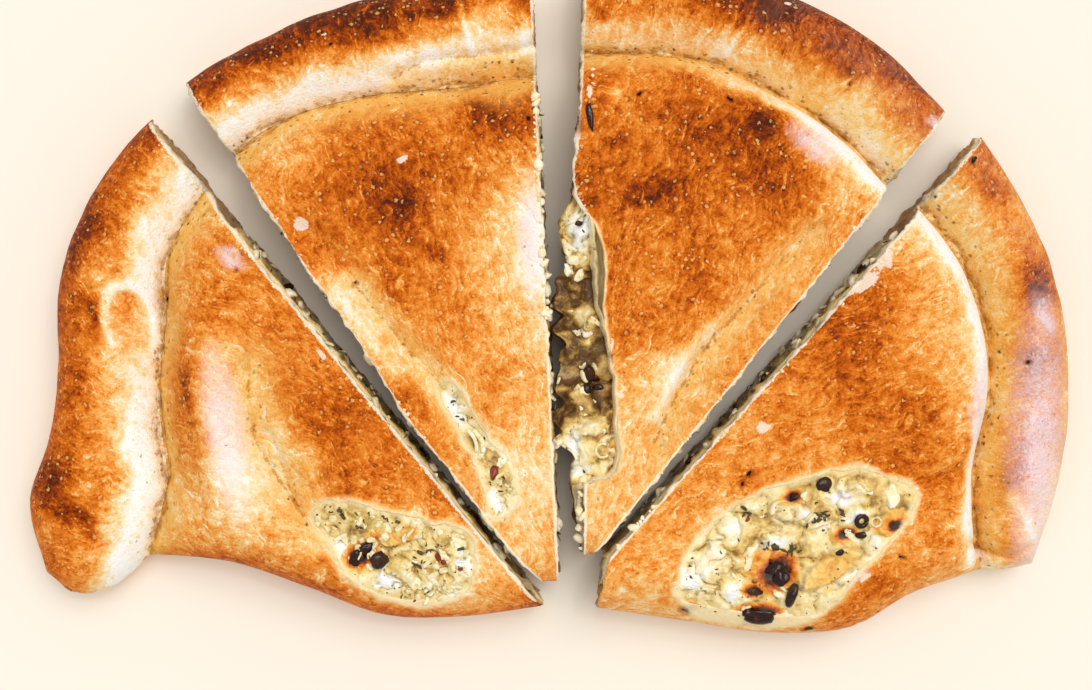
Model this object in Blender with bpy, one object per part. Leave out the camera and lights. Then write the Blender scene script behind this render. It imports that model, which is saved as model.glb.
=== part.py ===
# A large calzone, sliced in four and pulled a little apart.
#
# The calzone is drawn whole first: a half-moon whose rays start at a hub in the middle of its
# front edge. RIM_REACH and GROOVE_REACH say how far along each ray the rolled rim and the groove
# inside it lie. Three cuts part it into slices, and each slice is then moved and turned a little.
#
# Each slice is a crust, hollow between its floor and its skin and open at the cuts, and the
# filling that runs through it. Both start as a box in (u, v, depth): u runs from one side of the
# slice to the other, v from the tip over the groove to the rim, and depth from the top surface
# down to the base. The box is then bent to shape. All lengths are metres, and +Z is up.

import math

import bmesh
import bpy
import numpy as np

# The half-moon, as {angle of the ray in degrees: distance from the hub}
RIM_REACH = {
    4: 0.143, 12: 0.152, 20: 0.161, 35: 0.178, 50: 0.189, 65: 0.197, 80: 0.198, 95: 0.199,
    110: 0.204, 125: 0.205, 140: 0.193, 150: 0.177, 158: 0.173, 165: 0.173, 171: 0.163,
}
GROOVE_REACH = {
    4: 0.126, 12: 0.123, 20: 0.127, 28: 0.140, 43: 0.154, 60: 0.161, 75: 0.168, 90: 0.166,
    100: 0.166, 110: 0.172, 120: 0.176, 131: 0.170, 139: 0.155, 150: 0.138, 161: 0.128, 168: 0.129,
}
GROOVE_V = 0.8  # the v of the groove; the rim lies beyond it

# The front edge: from the tip of the slice to the groove, then round the end of the rim
FRONT_EDGES = {
    "left": (
        [(0, -0.001), (-0.026, -0.002), (-0.052, 0.001), (-0.075, 0.012), (-0.1, 0.023), (-0.127, 0.028)],
        [(-0.127, 0.028), (-0.133, 0.023), (-0.142, 0.018), (-0.152, 0.018), (-0.161, 0.0255)],
    ),
    "right": (
        [
            (0.0016, -0.0136), (0.030, -0.016), (0.060, -0.018), (0.086, -0.014), (0.104, -0.002),
            (0.126, 0.007),
        ],
        [(0.126, 0.007), (0.134, 0.0075), (0.1427, 0.010)],
    ),
}

# The three cuts: the ray each follows, in degrees, and how far from the hub it starts
CUTS = {"left": (123.6, 0.0036), "middle": (90.0, 0.0030), "right": (51.8, 0.0060)}

# Heights above the board
RIM_TOP = 0.027
GROOVE_TOP = 0.018
DOME_TOP = 0.034
EQUATOR = 0.011  # where a baked edge is widest
EDGE_ROUND = 0.016  # how far in from a baked edge its rounding reaches
BASE_TUCK = 0.006  # how far a baked edge curls in between its equator and the base
RIM_WIDTH = 0.028
CREST = 0.55  # where across the rim its top lies
SHOULDER = (0.011, 0.024)  # how far inside the groove the dome is full, on the right and the left

# Dough and filling
FLOOR = 0.0050  # bottom crust
SKIN = 0.0045  # top crust
FOLD_WALL = 0.009  # dough in the front fold, beside the filling
SEAM = 0.006  # dough between the filling and the groove
TAPER = 0.010  # how far in from its edges the filling takes to reach its full height
THIN_EDGE = 0.0095  # height of the filling at those edges
WINDOW_BASE = 0.0125  # height at which a window's plug joins the filling
FRONT_END = 0.12  # the v at which the filling starts behind a baked tip
BACK_END = 0.77  # the v at which it ends before the groove
GAP = 0.0003  # between the filling and the crust round it
SINK = 0.0015  # how far the filling in a window lies below the crust
RUN_OUT = 0.020  # how far a cutter passes through a cut face
JUST_PAST = GAP / RUN_OUT  # the share of that by which a cutter is larger than what fills it

# Mesh steps
ACROSS = 14
TIP_TO_GROOVE = 13
OVER_RIM = 6
FILLING_ACROSS = 9
FILLING_ALONG = 10
WALL_RINGS = 3
WINDOW_SIDES = 24
CROWDING = 1.6  # how much closer together the steps lie towards a baked edge or the groove

# Each slice has its two sides, its own crease and tear, and its place. A valley is a crease pressed
# into the dome. A window is an oval tear that shows the filling. The bulge is how far the filling
# has spread out of the first cut. The place is (x, y) of the hub, and the turns are in degrees.
SLICES = {
    "slice1": {
        "sides": (("front", "left"), ("cut", "left")),
        "valley": [(-0.089, 0.080), (-0.085, 0.060), (-0.078, 0.042), (-0.066, 0.027)],
        "window": {"centre": (-0.044, 0.0225), "half": (0.025, 0.0140), "turn": 155},
        "place": (-0.0007, -0.1010),
        "turn": 5.5,
    },
    "slice2": {
        "sides": (("cut", "left"), ("cut", "middle")),
        "tip_baked": True,
        "valley": [(-0.080, 0.122), (-0.07, 0.109), (-0.049, 0.081), (-0.036, 0.063), (-0.025, 0.043)],
        "window": {"centre": (-0.037, 0.062), "half": (0.022, 0.0040), "turn": 125},
        "place": (0.0045, -0.0951),
        "turn": 2.6,
    },
    "slice3": {
        "sides": (("cut", "middle"), ("cut", "right")),
        "valley": [(0.069, 0.106), (0.059, 0.095), (0.044, 0.075), (0.033, 0.057), (0.019, 0.028)],
        "window": {"centre": (0.0005, 0.070), "half": (0.044, 0.0085), "turn": 94},
        "bulge": 0.008,
        "place": (0.0123, -0.0876),
        "turn": -0.6,
    },
    "slice4": {
        "sides": (("cut", "right"), ("front", "right")),
        "valley": [(0.110, 0.038), (0.099, 0.024), (0.088, 0.011), (0.079, 0.001)],
        "window": {"centre": (0.061, 0.0115), "half": (0.036, 0.0200), "turn": 27},
        "place": (0.0159, -0.0889),
        "turn": -3.8,
    },
}
VALLEY_DEPTH = 0.004
VALLEY_WIDTH = 0.006
VALLEY_WIDTH_BELOW = 0.013  # under the crust

CRUST_COLOUR = (0.72, 0.27, 0.06)
FILLING_COLOUR = (0.83, 0.66, 0.36)


def mix(a, b, share):
    return a + (b - a) * share


def rounding(share):
    """A quarter circle: 0 at the edge, 1 from there inwards."""
    return np.sqrt(1 - (1 - np.clip(share, 0, 1)) ** 2)


def smooth(knots, values, t):
    """A smooth curve through the values at the knots, read at t."""
    knots, values = np.asarray(knots, float), np.asarray(values, float)
    slopes = np.gradient(values, knots, axis=0)
    t = np.clip(np.asarray(t, float), knots[0], knots[-1])
    i = np.clip(np.searchsorted(knots, t, side="right") - 1, 0, len(knots) - 2)
    step = knots[i + 1] - knots[i]
    s = (t - knots[i]) / step
    if values.ndim > 1:
        s, step = s[..., None], step[..., None]
    ease = 3 * s**2 - 2 * s**3
    leaving, arriving = s * (1 - s) ** 2 * step, s**2 * (s - 1) * step
    return mix(values[i], values[i + 1], ease) + slopes[i] * leaving + slopes[i + 1] * arriving


def along(points, share):
    """The point at a share of the length of a smooth curve through the points."""
    lengths = np.hypot(*np.diff(np.asarray(points, float), axis=0).T)
    return smooth(np.concatenate([[0], np.cumsum(lengths)]) / lengths.sum(), points, share)


def on_ray(reach, angle):
    """The point that a reach table gives on the ray at an angle in degrees."""
    turn = np.radians(angle)
    distance = smooth(list(reach), list(reach.values()), angle)
    return distance[..., None] * np.stack([np.cos(turn), np.sin(turn)], -1)


def ray_of(point):
    return math.degrees(math.atan2(point[1], point[0]))


def distance_to(points, lines):
    """How far each point is from the nearest of some lines of short straight steps."""
    start = np.concatenate([line[:-1] for line in lines])
    step = np.concatenate([np.diff(line, axis=0) for line in lines])
    offset = points[:, None, :] - start
    share = np.clip((offset * step).sum(-1) / (step**2).sum(-1), 0, 1)
    return np.linalg.norm(offset - share[..., None] * step, axis=-1).min(axis=1)


class Side:
    """One side of a slice, a straight cut or a part of the front edge, from the tip to the rim."""

    def __init__(self, kind, name):
        self.baked = kind == "front"
        if self.baked:
            self.inner, self.outer = FRONT_EDGES[name]
        else:
            ray, start = CUTS[name]
            groove, rim = on_ray(GROOVE_REACH, ray), on_ray(RIM_REACH, ray)
            self.inner, self.outer = [groove / np.linalg.norm(groove) * start, groove], [groove, rim]

    def at(self, v):
        inner = along(self.inner, v / GROOVE_V)
        outer = along(self.outer, (v - GROOVE_V) / (1 - GROOVE_V))
        return np.where((v > GROOVE_V)[:, None], outer, inner)


class Slice:
    """The plan and the heights of one slice, in the frame of the whole calzone."""

    def __init__(self, spec):
        self.spec = spec
        self.sides = [Side(*side) for side in spec["sides"]]
        fronts = [side for side in self.sides if side.baked]
        fronts = fronts or [Side("front", name) for name in FRONT_EDGES]
        self.tip_baked = spec.get("tip_baked", False)
        ends = [ray_of(self.sides[i].outer[-1]) for i in (0, 1)]
        shares = np.linspace(0, 1, 60)
        self.baked_lines = [side.at(shares) for side in fronts] + [on_ray(RIM_REACH, mix(*ends, shares))]
        self.valley = along(spec["valley"], shares)

    def bow(self, reach, part, u):
        """How far the rim or the groove bows out from its straight chord across the slice."""
        ends = [getattr(side, part)[-1] for side in self.sides]
        rays = [ray_of(end) for end in ends]
        chord = mix(*on_ray(reach, np.array(rays)), u[:, None])
        return on_ray(reach, mix(*rays, u)) - chord

    def plan(self, u, v):
        """The point of the slice at (u, v), seen from above."""
        first, last = (side.at(v) for side in self.sides)
        to_groove = np.clip(v / GROOVE_V, 0, 1)[:, None] ** 1.5
        over_rim = np.clip((v - GROOVE_V) / (1 - GROOVE_V), 0, 1)[:, None]
        bow = mix(self.bow(GROOVE_REACH, "inner", u) * to_groove, self.bow(RIM_REACH, "outer", u), over_rim)
        return mix(first, last, u[:, None]) + bow

    def to_groove(self, u, v):
        """How far the point lies inside the groove."""
        return np.hypot(*self.plan(u, v).T) * np.clip(GROOVE_V / np.maximum(v, 0.05) - 1, 0, None)

    def top(self, u, v, valley_width=VALLEY_WIDTH):
        """The height of the crust at (u, v)."""
        points = self.plan(u, v)
        leftward = np.clip((np.degrees(np.arctan2(points[:, 1], points[:, 0])) - 60) / 50, 0, 1)
        shoulder = self.to_groove(u, v) / mix(*SHOULDER, leftward)
        over_rim = (v - GROOVE_V) / (1 - GROOVE_V)
        dome = mix(GROOVE_TOP, DOME_TOP, np.sin(np.clip(shoulder, 0, 1) * math.pi / 2))
        rim = mix(GROOVE_TOP, RIM_TOP, np.sin(np.clip(over_rim / CREST, 0, 1) * math.pi / 2))
        x, y = points.T * 1000
        swell = 0.0008 * np.sin(x / 17 + 1) * np.cos(y / 21) + 0.0006 * np.sin(x / 9 - y / 13)
        crease = VALLEY_DEPTH * np.exp(-((distance_to(points, [self.valley]) / valley_width) ** 2))
        free = np.where(v > GROOVE_V, rim, dome) + swell - crease
        return mix(EQUATOR, free, rounding(distance_to(points, self.baked_lines) / EDGE_ROUND))

    def tuck(self, u, v, inset):
        """(u, v) moved in from the baked sides by a length."""
        width = np.linalg.norm(self.sides[1].at(v) - self.sides[0].at(v), axis=1)
        share = np.minimum(inset / width, 0.4)
        low, high = (share if side.baked else 0 for side in self.sides)
        rim = inset / RIM_WIDTH * (1 - GROOVE_V)
        return mix(low, 1 - high, u), v * (1 - rim)

    def outward(self, u, v):
        """Steps out of the slice, for the (u, v) that lie up to 1 beyond its sides, tip and rim."""
        middle = self.plan(np.array([0.5]), np.array([0.5]))[0]
        steps = []
        for side in self.sides:
            run = np.array(side.inner[-1]) - np.array(side.inner[0])
            normal = np.array([run[1], -run[0]]) / np.linalg.norm(run)
            steps.append(normal * np.sign(normal @ (np.array(side.inner[0]) - middle)))
        rimward = middle / np.linalg.norm(middle)
        steps += [-rimward, rimward]
        beyond = [np.clip(share, 0, 1) for share in (-u, u - 1, -v, v - 1)]
        return sum(share[:, None] * step for share, step in zip(beyond, steps))


def box_in_levels(u_levels, v_levels, depths):
    """A closed box: a grid on top at z = 0, and a ring of walls down to z = -depth for each depth.

    It is triangulated before it is bent, so that what fits together has the same creases.
    """
    bm = bmesh.new()
    columns, rows = len(u_levels) - 1, len(v_levels) - 1
    bmesh.ops.create_grid(bm, x_segments=columns, y_segments=rows, size=0.5)
    for vertex in bm.verts:
        u = u_levels[round((vertex.co.x + 0.5) * columns)]
        v = v_levels[round((vertex.co.y + 0.5) * rows)]
        vertex.co = (u, v, 0)
    edges = [edge for edge in bm.edges if edge.is_boundary]
    for depth in depths:
        made = bmesh.ops.extrude_edge_only(bm, edges=edges)["geom"]
        edges = [item for item in made if isinstance(item, bmesh.types.BMEdge)]
        for vertex in (item for item in made if isinstance(item, bmesh.types.BMVert)):
            vertex.co.z = -depth
    bmesh.ops.contextual_create(bm, geom=edges)
    bmesh.ops.recalc_face_normals(bm, faces=bm.faces)
    quads = [face for face in bm.faces if len(face.verts) == 4]
    bmesh.ops.triangulate(bm, faces=quads, quad_method="FIXED")
    return bm


def bent(name, bm, shape):
    """An object from the box, with each vertex moved to where shape puts its (u, v, depth)."""
    u, v, height = np.array([vertex.co for vertex in bm.verts]).T
    for vertex, place in zip(bm.verts, shape(u, v, -height)):
        vertex.co = place
    mesh = bpy.data.meshes.new(name)
    bm.to_mesh(mesh)
    bm.free()
    return bpy.data.objects.new(name, mesh)


def levels(steps, sides):
    """Steps from 0 to 1, closer together towards a baked side."""
    even = np.linspace(0, 1, steps + 1)
    if sides[0].baked:
        return even**CROWDING
    return crowded(even) if sides[1].baked else even


def crowded(even):
    return 1 - (1 - even) ** CROWDING


def cutter_levels(part, u_levels, v_levels):
    """The levels of a cutter: just past the slice on each side, and far out through each cut."""
    low = [-JUST_PAST] if part.sides[0].baked else [-1, -JUST_PAST]
    high = [1 + JUST_PAST] if part.sides[1].baked else [1 + JUST_PAST, 2]
    near = [-JUST_PAST] if part.tip_baked else [-1, -JUST_PAST]
    return [*low, *u_levels[1:-1], *high], [*near, *v_levels[1:-1], 1 + JUST_PAST]


def whole_slice(name, part, sunk=0.0):
    """A slice as one solid. Sunk, it is the cutter that limits the filling below the crust."""
    over_rim = np.sin(np.linspace(0, math.pi / 2, OVER_RIM + 1))[1:]
    to_groove = crowded(np.linspace(0, 1, TIP_TO_GROOVE + 1)) * GROOVE_V
    v_levels = np.concatenate([to_groove, mix(GROOVE_V, 1, over_rim)])
    u_levels = levels(ACROSS, part.sides)
    if sunk:
        u_levels, v_levels = cutter_levels(part, u_levels, v_levels)

    def shape(u, v, depth):
        curl = depth * math.pi / 2
        inside, far = np.clip(u, 0, 1), np.clip(v, 0, 1)
        tucked = part.tuck(inside, far, BASE_TUCK * (1 - np.cos(curl)))
        place = part.plan(*tucked) + RUN_OUT * part.outward(u, v)
        return np.column_stack([place, (part.top(inside, far) - sunk) * (1 - np.sin(curl))])

    rings = np.linspace(0, 1, WALL_RINGS + 1)[1:]
    return bent(name, box_in_levels(u_levels, v_levels, rings), shape)


def filling_mass(name, part, grown=0.0):
    """The filling between floor and skin. Grown, it is the hollow that holds it."""
    u_levels = levels(FILLING_ACROSS, part.sides)
    v_levels = crowded(np.linspace(0, 1, FILLING_ALONG + 1))
    front_end = FRONT_END if part.tip_baked else 0
    if grown:
        u_levels, v_levels = cutter_levels(part, u_levels, v_levels)

    def shape(u, v, depth):
        inside, far = np.clip(u, 0, 1), np.clip(v, 0, 1)
        held = part.tuck(inside, mix(front_end, BACK_END, far), FOLD_WALL)
        place = part.plan(*held) + RUN_OUT * part.outward(u, v)
        if not grown:
            place[:, 0] -= part.spec.get("bulge", 0) * np.sin(far * math.pi) * (1 - inside) ** 4
        from_fold = distance_to(part.plan(*held), part.baked_lines) - FOLD_WALL
        from_seam = part.to_groove(*held) - SEAM
        full = part.top(*held, VALLEY_WIDTH_BELOW) - SKIN
        crown = mix(THIN_EDGE, full, rounding(np.minimum(from_fold, from_seam) / TAPER))
        height = mix(crown - GAP + grown, FLOOR + GAP - grown, depth)
        return np.column_stack([place, height])

    return bent(name, box_in_levels(u_levels, v_levels, [1]), shape)


def window_plug(name, part, grown=0.0):
    """An oval column with a torn outline, standing from inside the filling to above the crust."""
    window = part.spec["window"]
    bm = bmesh.new()
    bmesh.ops.create_cone(bm, cap_ends=True, segments=WINDOW_SIDES, radius1=1, radius2=1, depth=1)
    turn = math.radians(window["turn"])
    for vertex in bm.verts:
        angle = math.atan2(vertex.co.y, vertex.co.x)
        torn = 1 + 0.07 * math.sin(3 * angle + 1) + 0.05 * math.sin(5 * angle + 2)
        long = (window["half"][0] * torn + grown) * math.cos(angle)
        wide = (window["half"][1] * torn + grown) * math.sin(angle)
        vertex.co.x = window["centre"][0] + long * math.cos(turn) - wide * math.sin(turn)
        vertex.co.y = window["centre"][1] + long * math.sin(turn) + wide * math.cos(turn)
        vertex.co.z = WINDOW_BASE - grown if vertex.co.z < 0 else 2 * DOME_TOP + grown
    mesh = bpy.data.meshes.new(name)
    bm.to_mesh(mesh)
    bm.free()
    return bpy.data.objects.new(name, mesh)


def boolean(target, operation, cutter):
    modifier = target.modifiers.new(operation.lower(), "BOOLEAN")
    modifier.operation = operation
    modifier.object = cutter
    modifier.solver = "EXACT"


def material(name, colour, roughness):
    made = bpy.data.materials.new(name)
    made.use_nodes = True
    shader = made.node_tree.nodes["Principled BSDF"]
    shader.inputs["Base Color"].default_value = (*colour, 1)
    shader.inputs["Roughness"].default_value = roughness
    made.diffuse_color = (*colour, 1)
    return made


def collection(name):
    made = bpy.data.collections.new(name)
    bpy.context.scene.collection.children.link(made)
    return made


def place(thing, spec, group):
    group.objects.link(thing)
    thing.location = (*spec["place"], 0)
    thing.rotation_euler.z = math.radians(spec["turn"])


def build_slice(name, spec, looks, parts, cutters):
    part = Slice(spec)
    crust = whole_slice(f"{name}_crust", part)
    hollow = filling_mass(f"{name}_hollow", part, grown=GAP)
    window = window_plug(f"{name}_window", part, grown=GAP)
    boolean(crust, "DIFFERENCE", hollow)
    boolean(crust, "DIFFERENCE", window)
    filling = filling_mass(f"{name}_filling", part)
    plug = window_plug(f"{name}_plug", part)
    limit = whole_slice(f"{name}_limit", part, sunk=SINK)
    boolean(filling, "UNION", plug)
    boolean(filling, "INTERSECT", limit)
    for thing, look in ((crust, looks["crust"]), (filling, looks["filling"])):
        thing.data.materials.append(look)
        thing.data.shade_smooth()
        thing.data.set_sharp_from_angle(angle=math.radians(35))
        place(thing, spec, parts)
    for thing in (hollow, window, plug, limit):
        place(thing, spec, cutters)
        thing.hide_render = True
        thing.display_type = "WIRE"


def main():
    for thing in list(bpy.data.objects):
        bpy.data.objects.remove(thing, do_unlink=True)
    looks = {
        "crust": material("crust", CRUST_COLOUR, 0.55),
        "filling": material("filling", FILLING_COLOUR, 0.45),
    }
    parts, cutters = collection("calzone"), collection("cutters")
    for name, spec in SLICES.items():
        build_slice(name, spec, looks, parts, cutters)


main()
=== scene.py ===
import itertools
import math

import bmesh
import bpy
import numpy as np
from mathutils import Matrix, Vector
from mathutils.bvhtree import BVHTree


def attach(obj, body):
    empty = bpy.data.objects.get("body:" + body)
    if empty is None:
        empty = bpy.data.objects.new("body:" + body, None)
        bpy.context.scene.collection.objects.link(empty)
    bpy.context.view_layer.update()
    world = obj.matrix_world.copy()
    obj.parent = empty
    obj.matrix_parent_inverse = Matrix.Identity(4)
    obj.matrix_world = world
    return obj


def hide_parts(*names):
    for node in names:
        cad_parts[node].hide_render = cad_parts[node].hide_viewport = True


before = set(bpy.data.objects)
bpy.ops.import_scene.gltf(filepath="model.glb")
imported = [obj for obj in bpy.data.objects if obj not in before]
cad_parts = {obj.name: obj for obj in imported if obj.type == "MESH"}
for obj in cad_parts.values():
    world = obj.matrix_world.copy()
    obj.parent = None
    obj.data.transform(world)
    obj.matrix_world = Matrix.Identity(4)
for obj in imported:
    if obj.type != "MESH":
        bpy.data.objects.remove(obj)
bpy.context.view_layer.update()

mm = 0.001
scene = bpy.context.scene

# Plan of the whole calzone in millimetres, before it is cut: how far rim and groove lie from the
# hub along each ray, the front edge from hub to groove and on round the end of the rim, and the cuts
layout = {
    "rim": {
        4: 142, 12: 151, 20: 160.5, 35: 177, 50: 188, 65: 196, 80: 197, 95: 198,
        110: 202.5, 125: 203.5, 140: 190.5, 150: 173.5, 156: 169, 163: 170, 171: 161,
    },
    "groove": {
        4: 126, 12: 125, 20: 129.5, 28: 141, 36: 150, 43: 155.5, 52: 158.5, 60: 163, 68: 165.5, 75: 168,
        90: 166, 100: 166, 110: 172, 120: 176, 126: 172, 131: 167, 139: 151, 144: 144, 150: 135,
        155: 128, 161: 126, 168: 128,
    },
    "fronts": {
        "left": (
            [(0, -1), (-26, -2), (-52, 1), (-75, 12), (-100, 23), (-127, 28)],
            [(-127, 28), (-133, 23), (-142, 18), (-152, 18), (-161, 25.5)],
        ),
        "right": (
            [(1.6, -13.6), (30, -16), (60, -18), (86, -14), (104, -2), (126, 7)],
            [(126, 7), (134, 7.5), (142.7, 10)],
        ),
    },
    "cuts": {"left": (123.6, 3.6), "middle": (90, 3), "right": (51.8, 6)},
}
grooveAt = 0.8  # share of the way from tip to rim at which the groove lies

heights = {
    "rim": 27, "groove": 18, "dome": 34, "equator": 11,
    "edgeRound": 16,  # how far in a baked edge's rounding reaches
    "tuck": 6,  # how far a baked edge curls in under itself
    "crest": 0.55,  # where across the rim its top lies
    "shoulders": (13, 24),  # how far inside the groove the dome is full, right and left
    "step": (2.2, 3.4),  # the dome's sharp edge on the right: how far inside the groove, how high
    "foldWall": 9, "seam": 6, "taper": 10,
}

# Openings are torn outlines, sunk as deep as given; edging says how baked the front edge is, and
# edgeLine how wide the pale line at the cuts is. Place and turn set the slice down on the board
slices = {
    "slice1": {
        "sides": (("front", "left"), ("cut", "left")),
        "opening": [
            (-67, 41), (-58, 40), (-43, 35), (-30, 31), (-22, 28), (-20, 21), (-23, 10), (-31, 5),
            (-43, 6), (-52, 11), (-60, 18), (-66, 28), (-70, 36),
        ],
        "deep": 6, "edging": 0.74, "edgeLine": 1.5,
        "place": (-0.7, -101.0), "turn": 5.5,
    },
    "slice2": {
        "sides": (("cut", "left"), ("cut", "middle")), "tipBaked": True,
        "opening": [
            (-36, 68), (-31, 67), (-25, 58), (-19, 49), (-14, 42), (-12, 35), (-14, 27), (-19, 25),
            (-22, 34), (-25, 43), (-29, 52), (-34, 61),
        ],
        "deep": 5,
        "wider": {
            0: 3, 14: 5.5, 22: 6, 35: 6, 48: 6.5, 60: 7.5, 73: 7.5, 84: 6.5, 110: 5.2, 133: 5, 148: 3.8,
            163: 3.6, 200: 1.8,
        },
        "place": (4.5, -95.1), "turn": 2.6,
    },
    "slice3": {
        "sides": (("cut", "middle"), ("cut", "right")),
        "opening": [
            (-22, 118), (-3, 117), (0, 112), (1, 100), (2, 90), (4, 79.5), (6, 71), (8, 62), (9.5, 54),
            (9, 46), (10, 38), (8, 30), (0, 27.5), (-6, 26), (-22, 24),
        ],
        "deep": 20,
        "sway": {60: 0, 112: 0, 117: 3.6, 123: 5, 135: 4, 155: 2.6, 175: 2, 195: 1.5},
        "place": (12.3, -87.6), "turn": -0.6,
    },
    "slice4": {
        "sides": (("cut", "right"), ("front", "right")),
        "opening": [
            (26, -4), (28, 6), (33, 14.5), (41, 22.5), (51, 29), (62, 33.5), (72, 37), (82, 38), (92, 35),
            (99, 33), (98, 25), (92, 17), (85, 8), (78, -1), (71, -8), (62, -13), (48, -13.8), (35, -12.2),
        ],
        "deep": 6,
        "place": (15.9, -88.9), "turn": -3.8,
    },
}


def mix(a, b, share):
    return a + (b - a) * share


def ramp(x, low, high):
    t = np.clip((x - low) / (high - low), 0, 1)
    return t * t * (3 - 2 * t)


def hump(distance, width):
    return np.exp(-((distance / width) ** 2))


def notch(distance, width):
    return np.exp(-abs(distance) / width)


def rounding(share):
    return np.sqrt(1 - (1 - np.clip(share, 0, 1)) ** 2)


# How far across the rim, from 0 in the groove to 1 at the outer edge
def acrossRim(v):
    return np.clip((v - grooveAt) / (1 - grooveAt), 0, 1)


# A smooth curve through the values at the knots, read at t
def smooth(knots, values, t):
    knots, values = np.asarray(knots, float), np.asarray(values, float)
    slopes = np.gradient(values, knots, axis=0)
    t = np.clip(np.asarray(t, float), knots[0], knots[-1])
    i = np.clip(np.searchsorted(knots, t, side="right") - 1, 0, len(knots) - 2)
    step = knots[i + 1] - knots[i]
    s = (t - knots[i]) / step
    if values.ndim > 1:
        s, step = s[..., None], step[..., None]
    curve = mix(values[i], values[i + 1], 3 * s**2 - 2 * s**3)
    return curve + slopes[i] * s * (1 - s) ** 2 * step + slopes[i + 1] * s**2 * (s - 1) * step


def along(points, share):
    lengths = np.hypot(*np.diff(np.asarray(points, float), axis=0).T)
    return smooth(np.concatenate([[0], np.cumsum(lengths)]) / lengths.sum(), points, share)


def table(values, x):
    return smooth(list(values), list(values.values()), x)


def onRay(reach, angle):
    turn = np.radians(angle)
    return table(reach, angle)[..., None] * np.stack([np.cos(turn), np.sin(turn)], -1)


def rayOf(points):
    points = np.asarray(points, float)
    return np.degrees(np.arctan2(points[..., 1], points[..., 0]))


# Distance of each point to the nearest of some lines, and on which side of it the point lies;
# points further than the reach from the lines' box are left far away
def fromLines(points, lines, reach=400):
    start = np.concatenate([line[:-1] for line in lines])
    step = np.concatenate([np.diff(line, axis=0) for line in lines])
    distances, sides = np.full(len(points), 900.0), np.ones(len(points))
    near = np.all((points > start.min(0) - reach) & (points < start.max(0) + reach), axis=1)
    for rows in np.array_split(np.flatnonzero(near), max(1, near.sum() // 4000)):
        offset = points[rows, None, :] - start
        share = np.clip((offset * step).sum(-1) / (step**2).sum(-1), 0, 1)
        away = offset - share[..., None] * step
        distance = np.hypot(away[..., 0], away[..., 1])
        nearest, row = distance.argmin(1), np.arange(len(rows))
        distances[rows] = distance[row, nearest]
        across = step[nearest, 0] * away[row, nearest, 1] - step[nearest, 1] * away[row, nearest, 0]
        sides[rows] = np.sign(across)
    return distances, sides


def within(points, loop):
    x, y = points.T
    inside = np.zeros(len(points), bool)
    for (ax, ay), (bx, by) in zip(loop[:-1], loop[1:]):
        if ay != by:
            inside ^= ((ay > y) != (by > y)) & (x < (bx - ax) * (y - ay) / (by - ay) + ax)
    return inside


chance = np.random.default_rng(11)
lattice = chance.random((32, 32, 32)) * 2 - 1


# Smooth random values from -1 to 1, with lumps of about the given size
def noise(points, size, seed=0, octaves=1):
    total = 0
    for octave in range(octaves):
        at = points.T / (size / 2**octave) + seed * 7.31 + octave * 3.7
        cell = np.floor(at).astype(int)
        t = at - cell
        t = t * t * (3 - 2 * t)
        weights, places = (1 - t, t), (cell % 32, (cell + 1) % 32)
        for a, b, c in itertools.product((0, 1), repeat=3):
            value = lattice[places[a][0], places[b][1], places[c][2]]
            total = total + weights[a][0] * weights[b][1] * weights[c][2] * value * 0.5**octave
    return total


def roughness(points, layers):
    return sum(height * noise(points, size, seed, octaves) for size, height, seed, octaves in layers)


def turned(points, degrees):
    a = math.radians(degrees)
    return points @ np.array([[math.cos(a), math.sin(a)], [-math.sin(a), math.cos(a)]])


def onLevel(points):
    return np.column_stack([points, points[:, 0] * 0])


class Side:
    def __init__(self, kind, name):
        self.baked = kind == "front"
        if self.baked:
            self.inner, self.outer = layout["fronts"][name]
        else:
            ray, start = layout["cuts"][name]
            groove, rim = onRay(layout["groove"], ray), onRay(layout["rim"], ray)
            self.inner, self.outer = [groove / np.linalg.norm(groove) * start, groove], [groove, rim]

    def at(self, v):
        inner = along(self.inner, v / grooveAt)
        outer = along(self.outer, (v - grooveAt) / (1 - grooveAt))
        return np.where((v > grooveAt)[:, None], outer, inner)


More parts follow.
